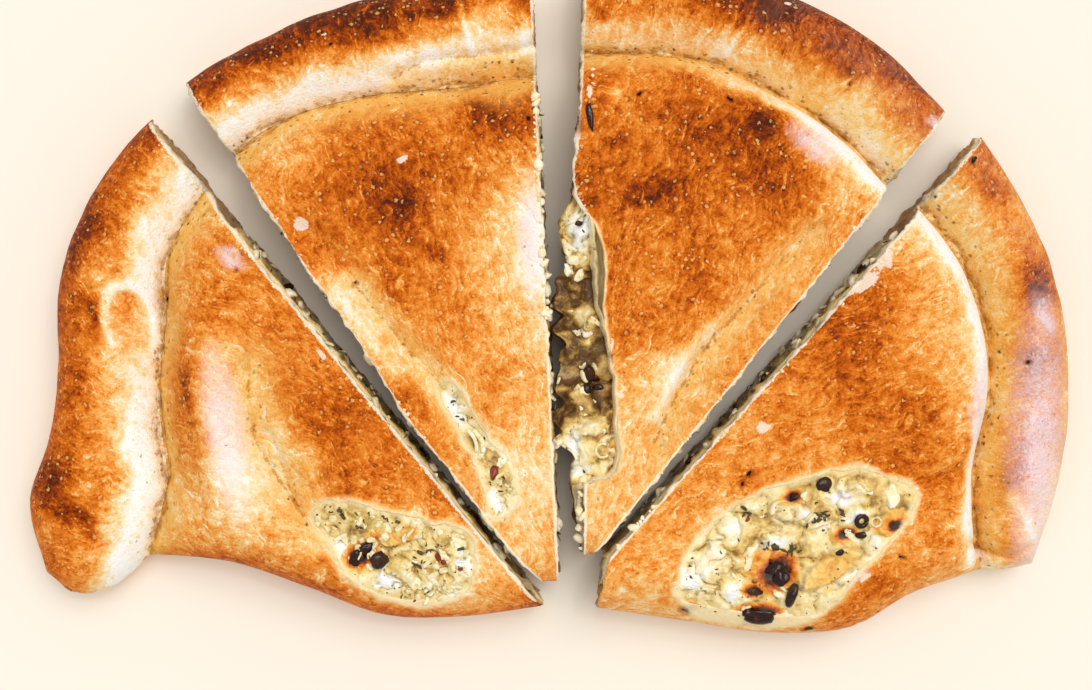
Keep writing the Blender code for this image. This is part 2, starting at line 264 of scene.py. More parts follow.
# One slice in the frame of the whole calzone: u runs across it, v from its tip to its rim
class Slice:
    def __init__(self, name):
        self.name, self.spec = name, slices[name]
        self.number = int(name[-1])
        self.sides = [Side(*side) for side in self.spec["sides"]]
        self.tipBaked = self.spec.get("tipBaked", False)
        fronts = [side for side in self.sides if side.baked]
        fronts = fronts or [Side("front", side) for side in layout["fronts"]]
        shares = np.linspace(0, 1, 34)
        self.bakedLines = [side.at(shares) for side in fronts] + [self.plan(shares, shares * 0 + 1)]
        cutAt = [u for u, side in enumerate(self.sides) if not side.baked]
        self.cutLines = [self.plan(shares * 0 + u, shares) for u in cutAt]
        self.middle = self.spotAt(0.5, 0.5)
        self.torn = along(self.spec["opening"] + self.spec["opening"][:1], np.linspace(0, 1, 80))

    def bow(self, reach, part, u):
        rays = [rayOf(getattr(side, part)[-1]) for side in self.sides]
        return onRay(reach, mix(*rays, u)) - mix(*onRay(reach, np.array(rays)), u[:, None])

    def plan(self, u, v):
        first, last = (side.at(v) for side in self.sides)
        toGroove = np.clip(v / grooveAt, 0, 1)[:, None] ** 1.5
        bow = self.bow(layout["groove"], "inner", u) * toGroove
        bow = mix(bow, self.bow(layout["rim"], "outer", u), acrossRim(v)[:, None])
        found = mix(first, last, u[:, None]) + bow
        if "wider" in self.spec:
            found[:, 0] -= table(self.spec["wider"], np.hypot(*found.T)) * np.clip(1 - u / 0.3, 0, 1) ** 2
        return found

    def spotAt(self, u, v):
        return self.plan(np.array([u]), np.array([v]))[0]

    # Which way the cut at u faces
    def facing(self, u):
        return self.outward(np.array([u * 3 - 1.0]), np.array([0.5]))[0]

    def toGroove(self, u, v):
        return np.hypot(*self.plan(u, v).T) * np.clip(grooveAt / np.maximum(v, 0.05) - 1, 0, None)

    # Height of the crust without its creases and lumps
    def dome(self, u, v, points, stepped=False):
        ray = rayOf(points)
        leftward = np.clip((ray - 60) / 50, 0, 1)
        inGroove = self.toGroove(u, v)
        shoulder = inGroove / mix(*heights["shoulders"], leftward)
        dome = mix(heights["groove"], heights["dome"], np.sin(np.clip(shoulder, 0, 1) * math.pi / 2))
        if stepped:
            start, height = heights["step"]
            sharp = (1 - ramp(ray, 66, 74)) * height * hump(np.clip(inGroove - start, 0, None), 7)
            rise = ramp(inGroove, start - 0.8, start + 0.8) - ramp(inGroove, 0, start) * 0.5
            dome = dome + sharp * rise
        toCrest = np.clip(acrossRim(v) / heights["crest"], 0, 1)
        rim = mix(heights["groove"], heights["rim"], np.sin(toCrest * math.pi / 2))
        x, y = points.T
        swell = 0.8 * np.sin(x / 17 + 1) * np.cos(y / 21) + 0.6 * np.sin(x / 9 - y / 13)
        return np.where(v > grooveAt, rim, dome) + swell

    def tuck(self, u, v, inset):
        width = np.linalg.norm(self.sides[1].at(v) - self.sides[0].at(v), axis=1)
        share = np.minimum(inset / width, 0.4)
        low, high = (share if side.baked else 0 for side in self.sides)
        return mix(low, 1 - high, u), v * (1 - inset / 28 * (1 - grooveAt))

    # Steps out of the slice, for the u and v that lie up to 1 beyond it
    def outward(self, u, v):
        middle, steps = self.middle, []
        for side in self.sides:
            run = np.subtract(side.inner[-1], side.inner[0])
            normal = np.array([run[1], -run[0]]) / np.linalg.norm(run)
            steps.append(normal * np.sign(normal @ (np.array(side.inner[0]) - middle)))
        steps.append(-middle / np.linalg.norm(middle))
        beyond = [np.clip(share, 0, 1) for share in (-u, u - 1, -v)]
        return sum(share[:, None] * step for share, step in zip(beyond, steps))

    def offWalls(self, u, v):
        beyondU = np.where(u == 0, -1.0, np.where(u == 1, 2.0, 0.5))
        return self.outward(beyondU, np.where(v == 0, -1.0, 0.5))

    # How far inside the torn opening each point lies, in ragged millimetres; outside it is negative
    def intoOpening(self, points, ragged=0.8):
        distance, _ = fromLines(points, [self.torn], 14)
        found = np.where(within(points, self.torn), distance, -distance)
        return found + ragged * (noise(onLevel(points), 4, 3, 2) + 0.8 * noise(onLevel(points), 13, 5))

    def onBoard(self, points):
        return turned(np.asarray(points, float), self.spec["turn"]) + self.spec["place"]


# A closed box of vertices in (u, v, depth): a grid on top, rings of wall under its edge, one face below
def boxOf(rings, uLevels, vLevels):
    columns, rows = len(uLevels) - 1, len(vLevels) - 1
    u, v = (part.ravel() for part in np.meshgrid(uLevels, vLevels))
    index = np.arange((columns + 1) * (rows + 1)).reshape(rows + 1, columns + 1)
    top = np.stack([index[:-1, :-1], index[:-1, 1:], index[1:, 1:], index[1:, :-1]], -1).reshape(-1, 4)
    edge = np.concatenate([index[0, :-1], index[:-1, -1], index[-1, :0:-1], index[:0:-1, 0]])
    faces, last = [top], edge
    for ring in range(rings):
        below = len(u) + ring * len(edge) + np.arange(len(edge))
        faces.append(np.stack([last, below, np.roll(below, -1), np.roll(last, -1)], -1))
        last = below
    depth = np.concatenate([np.zeros(len(u)), np.repeat(np.arange(1, rings + 1) / rings, len(edge))])
    faces = [face for block in faces for face in block.tolist()] + [last[::-1].tolist()]
    u, v = (np.concatenate([part, np.tile(part[edge], rings)]) for part in (u, v))
    return u, v, depth, faces


def meshPiece(name, points, faces, fields=()):
    mesh = bpy.data.meshes.new(name)
    mesh.from_pydata(points * mm, [], faces)
    for field, values in dict(fields).items():
        kind = "FLOAT_VECTOR" if values.ndim > 1 else "FLOAT"
        data = mesh.attributes.new(field, kind, "POINT").data
        data.foreach_set("vector" if values.ndim > 1 else "value", values.astype(np.float32).ravel())
    mesh.shade_smooth()
    piece = bpy.data.objects.new(name, mesh)
    scene.collection.objects.link(piece)
    return piece


crustLook = {
    "across": 190, "tipToGroove": 200, "overRim": 72, "rings": 16,
    "crease": 2.6,  # how deep the groove is pinched in
    "lumps": [(30, 0.8), (12, 0.5), (5, 0.22)],  # size and height
    "recess": 2.0,  # how far the cut walls fall back where the filling is
    "torn": [(4.5, 0.7, 9, 3), (1.6, 0.4, 4, 2)],  # the cut walls' roughness: size, height, seed, octaves
    "waves": [(16, 0.7, 2, 1), (7, 0.3, 4, 1)],  # the rim's outer edge, likewise
    "hole": 0.9, "flake": 0.3, "lip": 0.3,  # depth of burnt holes, height of flakes and of torn lips
    "strip": (4.0, 6.5),  # width of the greenish strip inside the groove, right and left
    "paleDoughAndPaintedHighlight": (1.2, 2.4, 4, 10),  # where the white band inside the right groove starts and ends: partly pale dough, partly a painted highlight on the dome's edge that faces the light
    "toneReach": 8,  # over how many millimetres neighbouring tones blend
}

# How far each part is baked, from 0 (white) to 100 (burnt): on the dome by (x, y), on the rim by ray at
# some shares of the way from the groove out. The palest values on flanks that face the light, the rim's
# inner flank on the left slices and the right side of slice 1's ridge, are partly pale dough and partly
# painted highlight
tones = {
    "slice1": [
        (-105, 115, 44), (-104, 97, 48), (-105, 82, 60), (-105, 64, 54), (-105, 48, 40), (-105, 35, 40),
        (-95, 140, 38), (-93, 120, 50), (-95, 104, 66), (-95, 88, 30), (-94, 72, 20), (-94, 56, 8),
        (-94, 42, 20), (-93, 30, 38), (-80, 122, 56), (-80, 105, 56), (-76, 92, 64), (-74, 78, 70),
        (-81, 66, 36), (-84, 50, 14), (-74, 54, 30), (-80, 38, 34), (-80, 24, 42), (-66, 92, 56),
        (-62, 80, 56), (-66, 68, 74), (-64, 50, 64), (-60, 62, 74), (-53, 64, 68), (-50, 50, 64),
        (-40, 44, 56), (-32, 33, 35), (-29, 38, 70), (-110, 24, 46), (-91, 20, 60), (-72, 12, 68),
        (-66, 16, 50), (-56, 4, 62), (-46, 2, 64), (-52, 9, 30), (-38, 0, 56), (-28, 2, 30), (-22, 8, 30),
        (-14, 10, 40), (-8, 8, 50),
    ],
    "slice2": [
        (-88, 140, 44), (-76, 142, 50), (-79, 152, 30), (-80, 130, 54), (-62, 146, 64), (-46, 148, 62),
        (-30, 150, 64), (-14, 154, 84), (-3, 150, 74), (-68, 130, 72), (-52, 134, 80), (-38, 136, 72),
        (-22, 138, 60), (-8, 138, 56), (-70, 116, 64), (-72, 107, 60), (-60, 84, 30), (-58, 72, 58),
        (-56, 118, 60), (-48, 123, 88), (-36, 118, 66), (-24, 120, 50), (-10, 118, 30), (-1, 120, 4),
        (-2, 134, 30), (-60, 110, 58), (-46, 104, 70), (-32, 100, 58), (-18, 102, 40), (-4, 104, 10),
        (-38, 86, 52), (-26, 84, 52), (-12, 84, 40), (-2, 84, 20), (-28, 70, 40), (-16, 66, 52),
        (-5, 62, 44), (-14, 50, 36), (-4, 42, 26), (-8, 30, 24), (-10, 20, 36), (-4, 12, 42), (-66, 98, 26),
        (-62, 88, 30), (-55, 76, 44), (-48, 58, 66), (-36, 48, 50), (-30, 38, 42), (-6, 36, 20),
    ],
    "slice3": [
        (6, 156, 62), (16, 152, 56), (30, 154, 70), (42, 154, 60), (5, 138, 62), (18, 138, 64),
        (30, 140, 78), (44, 142, 80), (56, 142, 80), (66, 138, 60), (78, 130, 30), (87, 131, 6),
        (4, 122, 72), (16, 122, 70), (28, 120, 76), (40, 122, 62), (54, 126, 86), (68, 122, 68),
        (82, 118, 40), (6, 106, 70), (20, 106, 58), (34, 106, 66), (48, 110, 60), (62, 112, 72),
        (74, 110, 50), (8, 92, 66), (20, 90, 50), (34, 90, 74), (48, 94, 50), (64, 98, 46), (12, 76, 64),
        (26, 78, 70), (38, 76, 52), (54, 80, 48), (16, 62, 42), (28, 62, 16), (44, 64, 50), (14, 48, 34),
        (24, 48, 28), (34, 50, 42), (12, 34, 30), (24, 36, 40), (8, 20, 34), (14, 24, 35),
    ],
    "slice4": [
        (92, 116, 20), (100, 108, 24), (86, 106, 46), (80, 98, 70), (92, 98, 60), (104, 92, 40),
        (72, 86, 74), (84, 84, 72), (96, 84, 46), (110, 82, 22), (66, 72, 66), (78, 70, 74), (92, 70, 58),
        (104, 70, 56), (115, 68, 24), (56, 58, 60), (70, 56, 60), (84, 54, 68), (100, 54, 72),
        (113, 54, 44), (48, 46, 46), (62, 44, 58), (78, 44, 58), (94, 44, 64), (108, 42, 52), (38, 34, 50),
        (52, 35, 50), (28, 24, 48), (36, 21, 36), (20, 14, 48), (27, 8, 40), (18, 0, 42), (22, -10, 40),
        (14, -8, 40), (110, 26, 58), (104, 20, 40), (96, 12, 44), (92, 2, 56), (84, -6, 60), (66, -17, 36),
        (50, -17, 22), (34, -15, 30), (118, 16, 36), (104, 8, 50), (69, 43, 42), (98, 42, 70),
    ],
}
rimShares = (0.06, 0.25, 0.4, 0.55, 0.7, 0.85, 1.0)
rimTones = {
    4: (8, 14, 26, 30, 20, 14, 14), 8: (30, 44, 60, 44, 28, 20, 18), 11: (40, 40, 54, 30, 42, 30, 26),
    15: (36, 62, 68, 60, 44, 34, 28), 20: (30, 54, 66, 66, 50, 36, 30), 25: (30, 52, 62, 64, 56, 38, 30),
    29: (30, 50, 66, 68, 60, 42, 34), 33: (34, 46, 56, 68, 64, 52, 40), 37: (30, 44, 58, 78, 80, 66, 50),
    40: (36, 42, 54, 60, 60, 52, 44), 43: (30, 34, 42, 48, 52, 46, 44), 47: (24, 34, 40, 50, 54, 52, 46),
    50: (20, 30, 38, 54, 62, 62, 62), 53: (4, 18, 30, 44, 60, 72, 76), 57: (6, 22, 36, 52, 72, 84, 84),
    61: (14, 24, 44, 64, 80, 86, 86), 64: (24, 36, 60, 78, 80, 86, 88), 68: (10, 30, 60, 74, 84, 88, 88),
    72: (20, 34, 52, 82, 90, 92, 90), 76: (26, 40, 64, 82, 86, 88, 88), 80: (22, 36, 52, 62, 76, 82, 84),
    85: (24, 30, 50, 54, 68, 80, 82), 89: (30, 26, 54, 60, 72, 80, 82), 90.5: (30, 14, 10, 46, 74, 80, 82),
    93: (30, 20, 14, 40, 58, 80, 82), 97: (26, 12, 14, 42, 62, 84, 86), 101: (20, 2, 10, 46, 70, 88, 92),
    104: (10, 8, 38, 68, 88, 96, 94), 107: (2, 20, 54, 78, 92, 98, 96), 110: (0, 16, 42, 64, 82, 94, 92),
    114: (0, 6, 42, 68, 88, 94, 88), 118: (-5, 2, 32, 58, 80, 92, 88), 122: (-6, -3, 26, 56, 78, 86, 88),
    126: (-5, 10, 28, 44, 66, 74, 76), 130: (-4, 14, 38, 58, 68, 74, 80), 134: (-4, 4, 38, 56, 66, 76, 84),
    137: (4, 16, 34, 50, 74, 86, 82), 140: (6, 16, 34, 48, 70, 80, 80), 143: (6, 10, 32, 50, 66, 74, 78),
    146: (6, 6, 36, 56, 70, 70, 70), 150: (4, 2, 30, 54, 72, 72, 66), 155: (-2, -2, 32, 60, 72, 68, 62),
    160: (-5, -2, 30, 56, 72, 74, 74), 163: (-5, 0, 26, 60, 76, 62, 56), 167: (-5, -2, 20, 52, 62, 60, 58),
    171: (-5, 0, 16, 44, 60, 62, 62),
}

# Creases, ridges and valleys along lines: how high, how wide left and right of the line as it runs, how
# sharp a crease runs in it, and how much paler or greener the dough is there; the paler ridges beside the
# valleys of slices 2 and 3 are partly pale dough, partly painted highlight on flanks that face the light
folds = {
    "slice1": [
        {"path": [(-86, 84), (-87.5, 72), (-85.5, 60), (-82, 53), (-76, 42), (-69, 31)],
         "raise": -4.6, "wide": (9, 5), "crease": 1.2, "green": 0.5},
        {"path": [(-80, 62), (-78, 50), (-75, 40)], "raise": -1, "wide": (2.5, 2.5), "crease": 0.8},
        {"path": [(-80, 66), (-79, 58)], "raise": 1.4, "wide": (3, 3), "bake": -0.12},
        {"path": [(-103, 98), (-102.5, 80), (-101, 62), (-98, 44)], "raise": 2.4, "wide": (8, 6)},
        {"path": [(-107, 96), (-107, 78), (-105, 58)], "wide": (4, 3), "bake": 0.05},
        {"path": [(-122.5, 110), (-122, 98)], "raise": -1.8, "wide": (5.5, 5.5), "bake": 0.2},
        {"path": [(-129.5, 97), (-131, 104), (-129.5, 112), (-126, 115.5), (-120, 114.5), (-116.5, 110),
                  (-116, 102), (-117, 94)], "raise": 0.8, "wide": (1.8, 1.8), "bake": -0.34},
        {"path": [(-131.5, 113), (-132.5, 104), (-130.5, 96)],
         "wide": (1.5, 1.5), "crease": 0.9, "bake": 0.1},
        {"path": [(-113.5, 112.5), (-113.5, 108.5)],
         "raise": -2, "wide": (2, 2), "crease": 1, "green": 0.8, "bake": 0.3},
        {"path": [(-163, 50), (-153, 46), (-143, 40), (-139, 33)],
         "raise": -1.6, "wide": (3, 3), "crease": 0.6, "bake": 0.12},
    ],
    "slice2": [
        {"path": [(-76, 119), (-68, 110), (-60, 101), (-52, 89), (-45, 79.5), (-39, 73), (-32, 62),
                  (-26, 52)], "raise": -3.6, "wide": (4.5, 5.5)},
        {"path": [(-60, 100), (-52, 89), (-45, 79.5), (-39, 73), (-32, 62), (-26, 52)],
         "wide": (3.5, 4), "crease": 1.2, "green": 0.55, "bake": -0.14},
        {"path": [(-67, 101), (-62, 92), (-56, 83), (-49, 73)],
         "raise": 0.9, "wide": (2.6, 2.6), "bake": -0.2},
        {"path": [(-44, 166), (-30, 168.5), (-15, 169.5), (1, 170)],
         "raise": 0.4, "wide": (3.5, 3.5), "green": 0.7, "bake": 0.06},
        {"path": [(-24, 191), (-22, 182), (-20, 174)], "raise": 0.5, "wide": (1.2, 1.2), "bake": -0.2},
        {"path": [(-46, 167), (-36, 171.5), (-22, 172.5), (-10, 173.5), (1, 175)],
         "raise": -1, "wide": (1.6, 1.6), "crease": 0.7},
    ],
    "slice3": [
        {"path": [(70, 107), (60, 96), (53, 87), (47.5, 81), (38, 70), (33, 62), (27, 51), (22, 40)],
         "raise": -4.2, "wide": (6, 3.5), "crease": 1.2, "green": 0.55},
        {"path": [(40, 77), (33, 68), (27, 58), (23, 48)], "raise": 1.2, "wide": (2.2, 2.8), "bake": -0.22},
        {"path": [(54, 184), (50, 174), (44, 165)], "raise": 0.6, "wide": (1.4, 1.4), "bake": -0.26},
        {"path": [(48, 182), (45, 172), (40, 164)], "raise": 0.5, "wide": (1.2, 1.2), "bake": -0.2},
    ],
    "slice4": [
        {"path": [(99, 33), (103, 35.5), (109, 38), (116, 40)],
         "raise": -1.6, "wide": (3, 3), "crease": 1, "bake": 0.06},
        {"path": [(98, 30), (92, 20), (84, 8), (77, -2)], "raise": 1.6, "wide": (4, 4), "bake": -0.05},
        {"path": [(120, 17), (126, 14), (134, 13), (139, 16)],
         "raise": -2.2, "wide": (2, 2), "crease": 1.2, "bake": 0.15},
        {"path": [(131, 33), (136, 26), (140, 20)], "raise": 0.8, "wide": (2, 2), "bake": -0.3},
    ],
}

# Round marks as (x, y, half length, half width, turn): burnt holes, dark scorched patches, pale torn skin
# or flour, and gloss where the crust is glossiest, which also carries a painted highlight in the skin's
# colour
marks = {
    "slice1": {
        "spot": [(-86.4, 116.5, 1.1, 1, 0), (-113.4, 110.5, 1, 1.6, 0), (-133, 136, 1.4, 0.8, 30)],
        "scorch": [
            (-133, 136, 5, 4, 30), (-134, 108, 3, 9, 10), (-153, 55, 7, 5, 40), (-142, 44, 4, 3, 0),
            (-106, 80, 2.2, 11, 0),
        ],
        "flour": [(-80, 121, 4.5, 1.3, -55), (-62, 88, 3, 0.8, -55)],
        "glossAndPaintedHighlight": [(-94.5, 66, 5, 22, 3), (-88, 121, 5, 2.4, -40)],
    },
    "slice2": {
        "spot": [
            (-60, 101, 1.3, 1.1, 0), (-3, 151, 1, 1.6, 0), (-19, 39, 1.3, 2.6, 10),
            (-65, 178, 1.5, 0.8, 20),
        ],
        "scorch": [
            (-34, 109, 4, 2.5, -10), (-82, 172, 4, 2.5, 10), (-44, 124, 6, 4, 0), (-30, 187, 9, 4, 10),
        ],
        "flour": [
            (-77, 120, 2.8, 2.2, -20), (-63, 93, 2, 1.6, -50), (-43, 140, 2, 1, 30),
            (-67, 181, 1.6, 0.8, 10),
        ],
        "glossAndPaintedHighlight": [(-4, 112, 3.5, 16, 0)],
    },
    "slice3": {
        "spot": [
            (16.7, 151, 1.5, 1.1, 30), (45.5, 150, 2.2, 1.4, -20), (84, 156, 1.4, 0.9, 60),
            (52, 88.5, 0.7, 0.7, 0), (8, 67, 0.9, 2.4, 12), (-0.5, 143, 1.5, 6, 12),
        ],
        "scorch": [
            (57, 142, 7, 4, 20), (10, 135, 3, 2, 0), (0, 126, 2, 4, 0), (20, 118, 12, 5, 20),
            (58, 182, 14, 5, -20),
        ],
        "flour": [
            (8, 71, 0.7, 3.2, 14), (11, 55, 1.6, 1.3, 0), (2.4, 151, 0.9, 3, 0), (0.4, 137, 1.2, 1.8, 0),
            (64, 181, 1.6, 0.8, 0),
        ],
        "glossAndPaintedHighlight": [(111, 143.5, 2.4, 1.6, 0), (72, 136, 8, 4, -35)],
    },
    "slice4": {
        "spot": [
            (53, -11.5, 6, 3, 0), (31, -10, 3, 1.8, 0), (46.4, 34.8, 2.2, 1.3, 50), (44.2, 31, 1.2, 2.2, 0),
            (134, 75.8, 1.3, 1.3, 0), (112.5, 139, 2, 1, -60), (96.2, 11.6, 1.1, 1, 0),
            (70, -14.5, 2.4, 0.8, 0), (92, -8, 1.6, 0.7, 20),
        ],
        "scorch": [
            (135.8, 100.5, 7, 5, -60), (108, 18, 4.5, 3.5, 0), (120, 129, 7, 5, -55), (134, 75.8, 4, 4, 0),
            (46, 33, 4, 4, 0), (92, 2, 6, 4, 30),
        ],
        "flour": [
            (84.5, 105.5, 5.5, 3.4, 50), (78.5, 97, 7, 2.6, 40), (60.8, 76.4, 1.5, 1, 40),
            (50, 49.3, 2.4, 2, 0), (125, 12, 6, 1.4, 5), (85, 5, 2.8, 1.4, 40),
        ],
        "glossAndPaintedHighlight": [(140, 46, 8, 40, 3), (138.5, 90.5, 3.6, 7, 20), (81, 5, 4.5, 2, 38), (118, 62, 3, 12, 0)],
    },
}


# The largest of some soft round marks at each point, 1 at a mark's centre and 0 beyond its edge
def marked(points, spots):
    found = np.zeros(len(points))
    for x, y, length, width, turn in spots:
        away = turned(points - (x, y), -turn) / (length, width)
        found = np.maximum(found, np.clip(1.5 - np.hypot(*away.T), 0, 1.5) / 1.5)
    return found


def toneAt(points, known, reach):
    known = np.array(known)
    squares = ((points[:, None, :] - known[None, :, :2]) ** 2).sum(-1) / reach**2
    weights = np.exp(squares.min(1)[:, None] - squares)
    return (weights * known[:, 2] / 100).sum(1) / weights.sum(1)


# Height of the skin with its lumps and folds, and how baked and how green it is
def skin(part, u, v, flat):
    look, level, ray = crustLook, onLevel(flat), rayOf(flat)
    overRim, onRim, inGroove = acrossRim(v), v > grooveAt, part.toGroove(u, v)
    nearGroove = np.where(onRim, overRim * 28, inGroove) + 1.3 * noise(level, 6, 9, 2)

    free = part.dome(u, v, flat, stepped=True)
    pleats = 1 + 0.8 * noise(level, 5, 5, 2)
    free = free - look["crease"] * pleats * notch(nearGroove, 1.3)
    free = free - 1.2 * hump(inGroove - 3, 3.5) * ~onRim * ramp(ray, 80, 100)
    for size, height in look["lumps"]:
        free = free + height * noise(level, size, size, 2)

    bake = toneAt(flat, tones[part.name], look["toneReach"])
    place = np.interp(overRim + 0.09 * noise(level, 9, 3, 3), rimShares, range(len(rimShares)))
    step, row = np.minimum(place.astype(int), len(rimShares) - 2), np.arange(len(ray))
    across = table(rimTones, ray) / 100
    bake = np.where(onRim, mix(across[row, step], across[row, step + 1], place - step), bake)
    leftSide = ramp(ray, 60, 85)
    wide = mix(*look["strip"], leftSide) * (1 + 0.5 * noise(level, 11, 6, 2))
    strip = hump(inGroove, wide) * ~onRim
    bake = mix(bake, 0.33, strip * 0.9)
    outer = onRim * hump(nearGroove, mix(7.0, 2.0, leftSide) + 4 * hump(ray - 96, 6)) * 0.8
    green = np.maximum(strip * 0.9, outer)
    inward = inGroove + 1.5 * noise(level, 6, 3, 2)
    # Painted highlight, partly pale dough: the dome's steep edge inside the right groove faces the light
    # and is painted white
    start, full, fading, end = look["paleDoughAndPaintedHighlight"]
    paleDoughAndPaintedHighlight = (1 - leftSide) * ramp(inGroove, start, full) * (1 - ramp(inward, fading, end)) * ~onRim
    bake = bake * (1 - paleDoughAndPaintedHighlight) - 0.06 * paleDoughAndPaintedHighlight
    green = green * (1 - paleDoughAndPaintedHighlight)
    nearCrease = nearGroove
    for fold in folds[part.name]:
        distance, side = fromLines(flat, [along(fold["path"], np.linspace(0, 1, 16))], 30)
        if "crease" in fold:
            nearCrease = np.minimum(nearCrease, 2.2 * distance)
        wide = np.where(side > 0, *fold["wide"])
        near = hump(distance + 0.8 * noise(level, 9, 8), wide)
        free = free + fold.get("raise", 0) * near - fold.get("crease", 0) * notch(distance, 1.1)
        bake = bake + fold.get("bake", 0) * near
        green = np.maximum(green, fold.get("green", 0) * near)
        bake = bake - 0.3 * (fold.get("green", 0) > 0) * near * ramp(bake, 0.3, 0.6)
    return free, bake, green, nearCrease


def crustPiece(part):
    look, spec = crustLook, part.spec
    uLevels = np.linspace(0, 1, look["across"] + 1)
    inner = (1 - (1 - np.linspace(0, 1, look["tipToGroove"] + 1)) ** 1.15) * grooveAt
    outer = mix(grooveAt, 1, (1 - np.cos(np.linspace(0, math.pi, look["overRim"] + 1))) / 2)[1:]
    u, v, depth, faces = boxOf(look["rings"], uLevels, np.concatenate([inner, outer]))
    flat = part.plan(u, v)
    level, solid = onLevel(flat), np.column_stack([flat, depth * 30])
    edge, _ = fromLines(flat, part.bakedLines)
    cut, _ = fromLines(flat, part.cutLines)
    overRim, onRim = acrossRim(v), v > grooveAt
    ray = rayOf(flat)
    free, bake, green, nearCrease = skin(part, u, v, flat)
    warped = flat + np.column_stack([noise(level, 3.2, 1, 2), noise(level, 3.2, 6, 2)]) * 0.9
    spot, flour, glossAndPaintedHighlight, scorch = (
        marked(warped, marks[part.name][kind]) for kind in ("spot", "flour", "glossAndPaintedHighlight", "scorch")
    )
    bake = np.where(onRim, bake, np.minimum(bake, 0.8)) + 0.2 * scorch
    free = free - look["hole"] * ramp(spot, 0.4, 0.9) + look["flake"] * ramp(flour, 0.3, 0.5)
    # Painted highlight kept to the top skin, off the walls
    glossAndPaintedHighlight = glossAndPaintedHighlight * (1 - ramp(depth, 0, 0.3))
    into = part.intoOpening(flat)
    lip = hump(into + 1.0, 1.3)
    opened = ramp(into, -0.2, 1.5) * ramp(edge, 7.5, 11)
    top = mix(heights["equator"], free, rounding(edge / heights["edgeRound"])) + look["lip"] * lip
    top = top - np.minimum(spec["deep"], np.maximum(top - 8, 0)) * opened
    bake = mix(bake, 0.24, hump(into, 1.6))
    edging = (1 - ramp(edge, 1, 8)) * ~onRim
    brown = spec.get("edging", 0.48) + 0.16 * noise(level, 14, 12)
    bake = mix(bake, brown, edging * (1 - ramp(into, -5, -1)) * 0.75)
    bake = mix(bake, 0.4, ramp(depth, 0.1, 0.5))

    # Walls: baked edges curl under, cut ones go straight down and are recessed where the filling is
    onCut = np.zeros(len(u), bool)
    for side, at in zip(part.sides, (0, 1)):
        onCut |= (u == at) & (not side.baked)
    onCut |= (v == 0) & (not part.tipBaked)
    angle = depth * math.pi / 2
    z = np.where(onCut, top * (1 - depth), top * (1 - np.sin(angle)))
    tucked = part.plan(*part.tuck(u, v, heights["tuck"] * (1 - np.cos(angle))))
    band = ramp(z, 4.0, 6.5) * (1 - ramp(z, top - 6, top - 3.5)) * (1 - ramp(v, 0.74, 0.79))
    torn = roughness(solid, look["torn"])
    sway = onCut * (torn - look["recess"] * band * (depth > 0))
    softEdge = onCut & (depth == 0)
    z = z - softEdge * (0.5 + 0.4 * noise(level, 2.5, 2))
    points = tucked + part.offWalls(u, v) * sway[:, None]
    if "sway" in spec:
        share = np.clip(1 - u / 0.25, 0, 1) ** 2
        points[:, 0] -= table(spec["sway"], np.hypot(*flat.T)) * share
    waves = roughness(level, look["waves"])
    radial = flat / np.maximum(np.hypot(*flat.T), 1)[:, None]
    points = points + radial * (waves * ramp(overRim, 0.7, 1))[:, None]

    alongSlice = onLevel(turned(flat, 90 - rayOf(part.middle)))
    alongRim = np.column_stack([ray * 3, np.hypot(*flat.T), ray * 0 + 9])
    fields = {
        "bake": np.clip(bake, 0, 1), "green": np.clip(green, 0, 1), "spot": spot, "flour": flour,
        "glossAndPaintedHighlight": glossAndPaintedHighlight, "crumb": onCut * (depth > 0) * 1.0, "underSkin": top - z,
        "cutEdge": hump(cut, spec.get("edgeLine", 1.1)) * (v < 0.99), "inside": np.clip(into, -5, 3),
        "flow": np.where(onRim[:, None], alongRim, alongSlice),
        # Where painted shade falls in the creases, and where a painted sheen lies over the right slices'
        # outer rim
        "pinch": hump(nearCrease, 2.4), "paintedSheen": onRim * ramp(overRim, 0.3, 0.7) * (1 - ramp(ray, 66, 78)),
    }
    points = np.column_stack([part.onBoard(points), z])
    return meshPiece(f"{part.name}Crust", points, faces, fields)
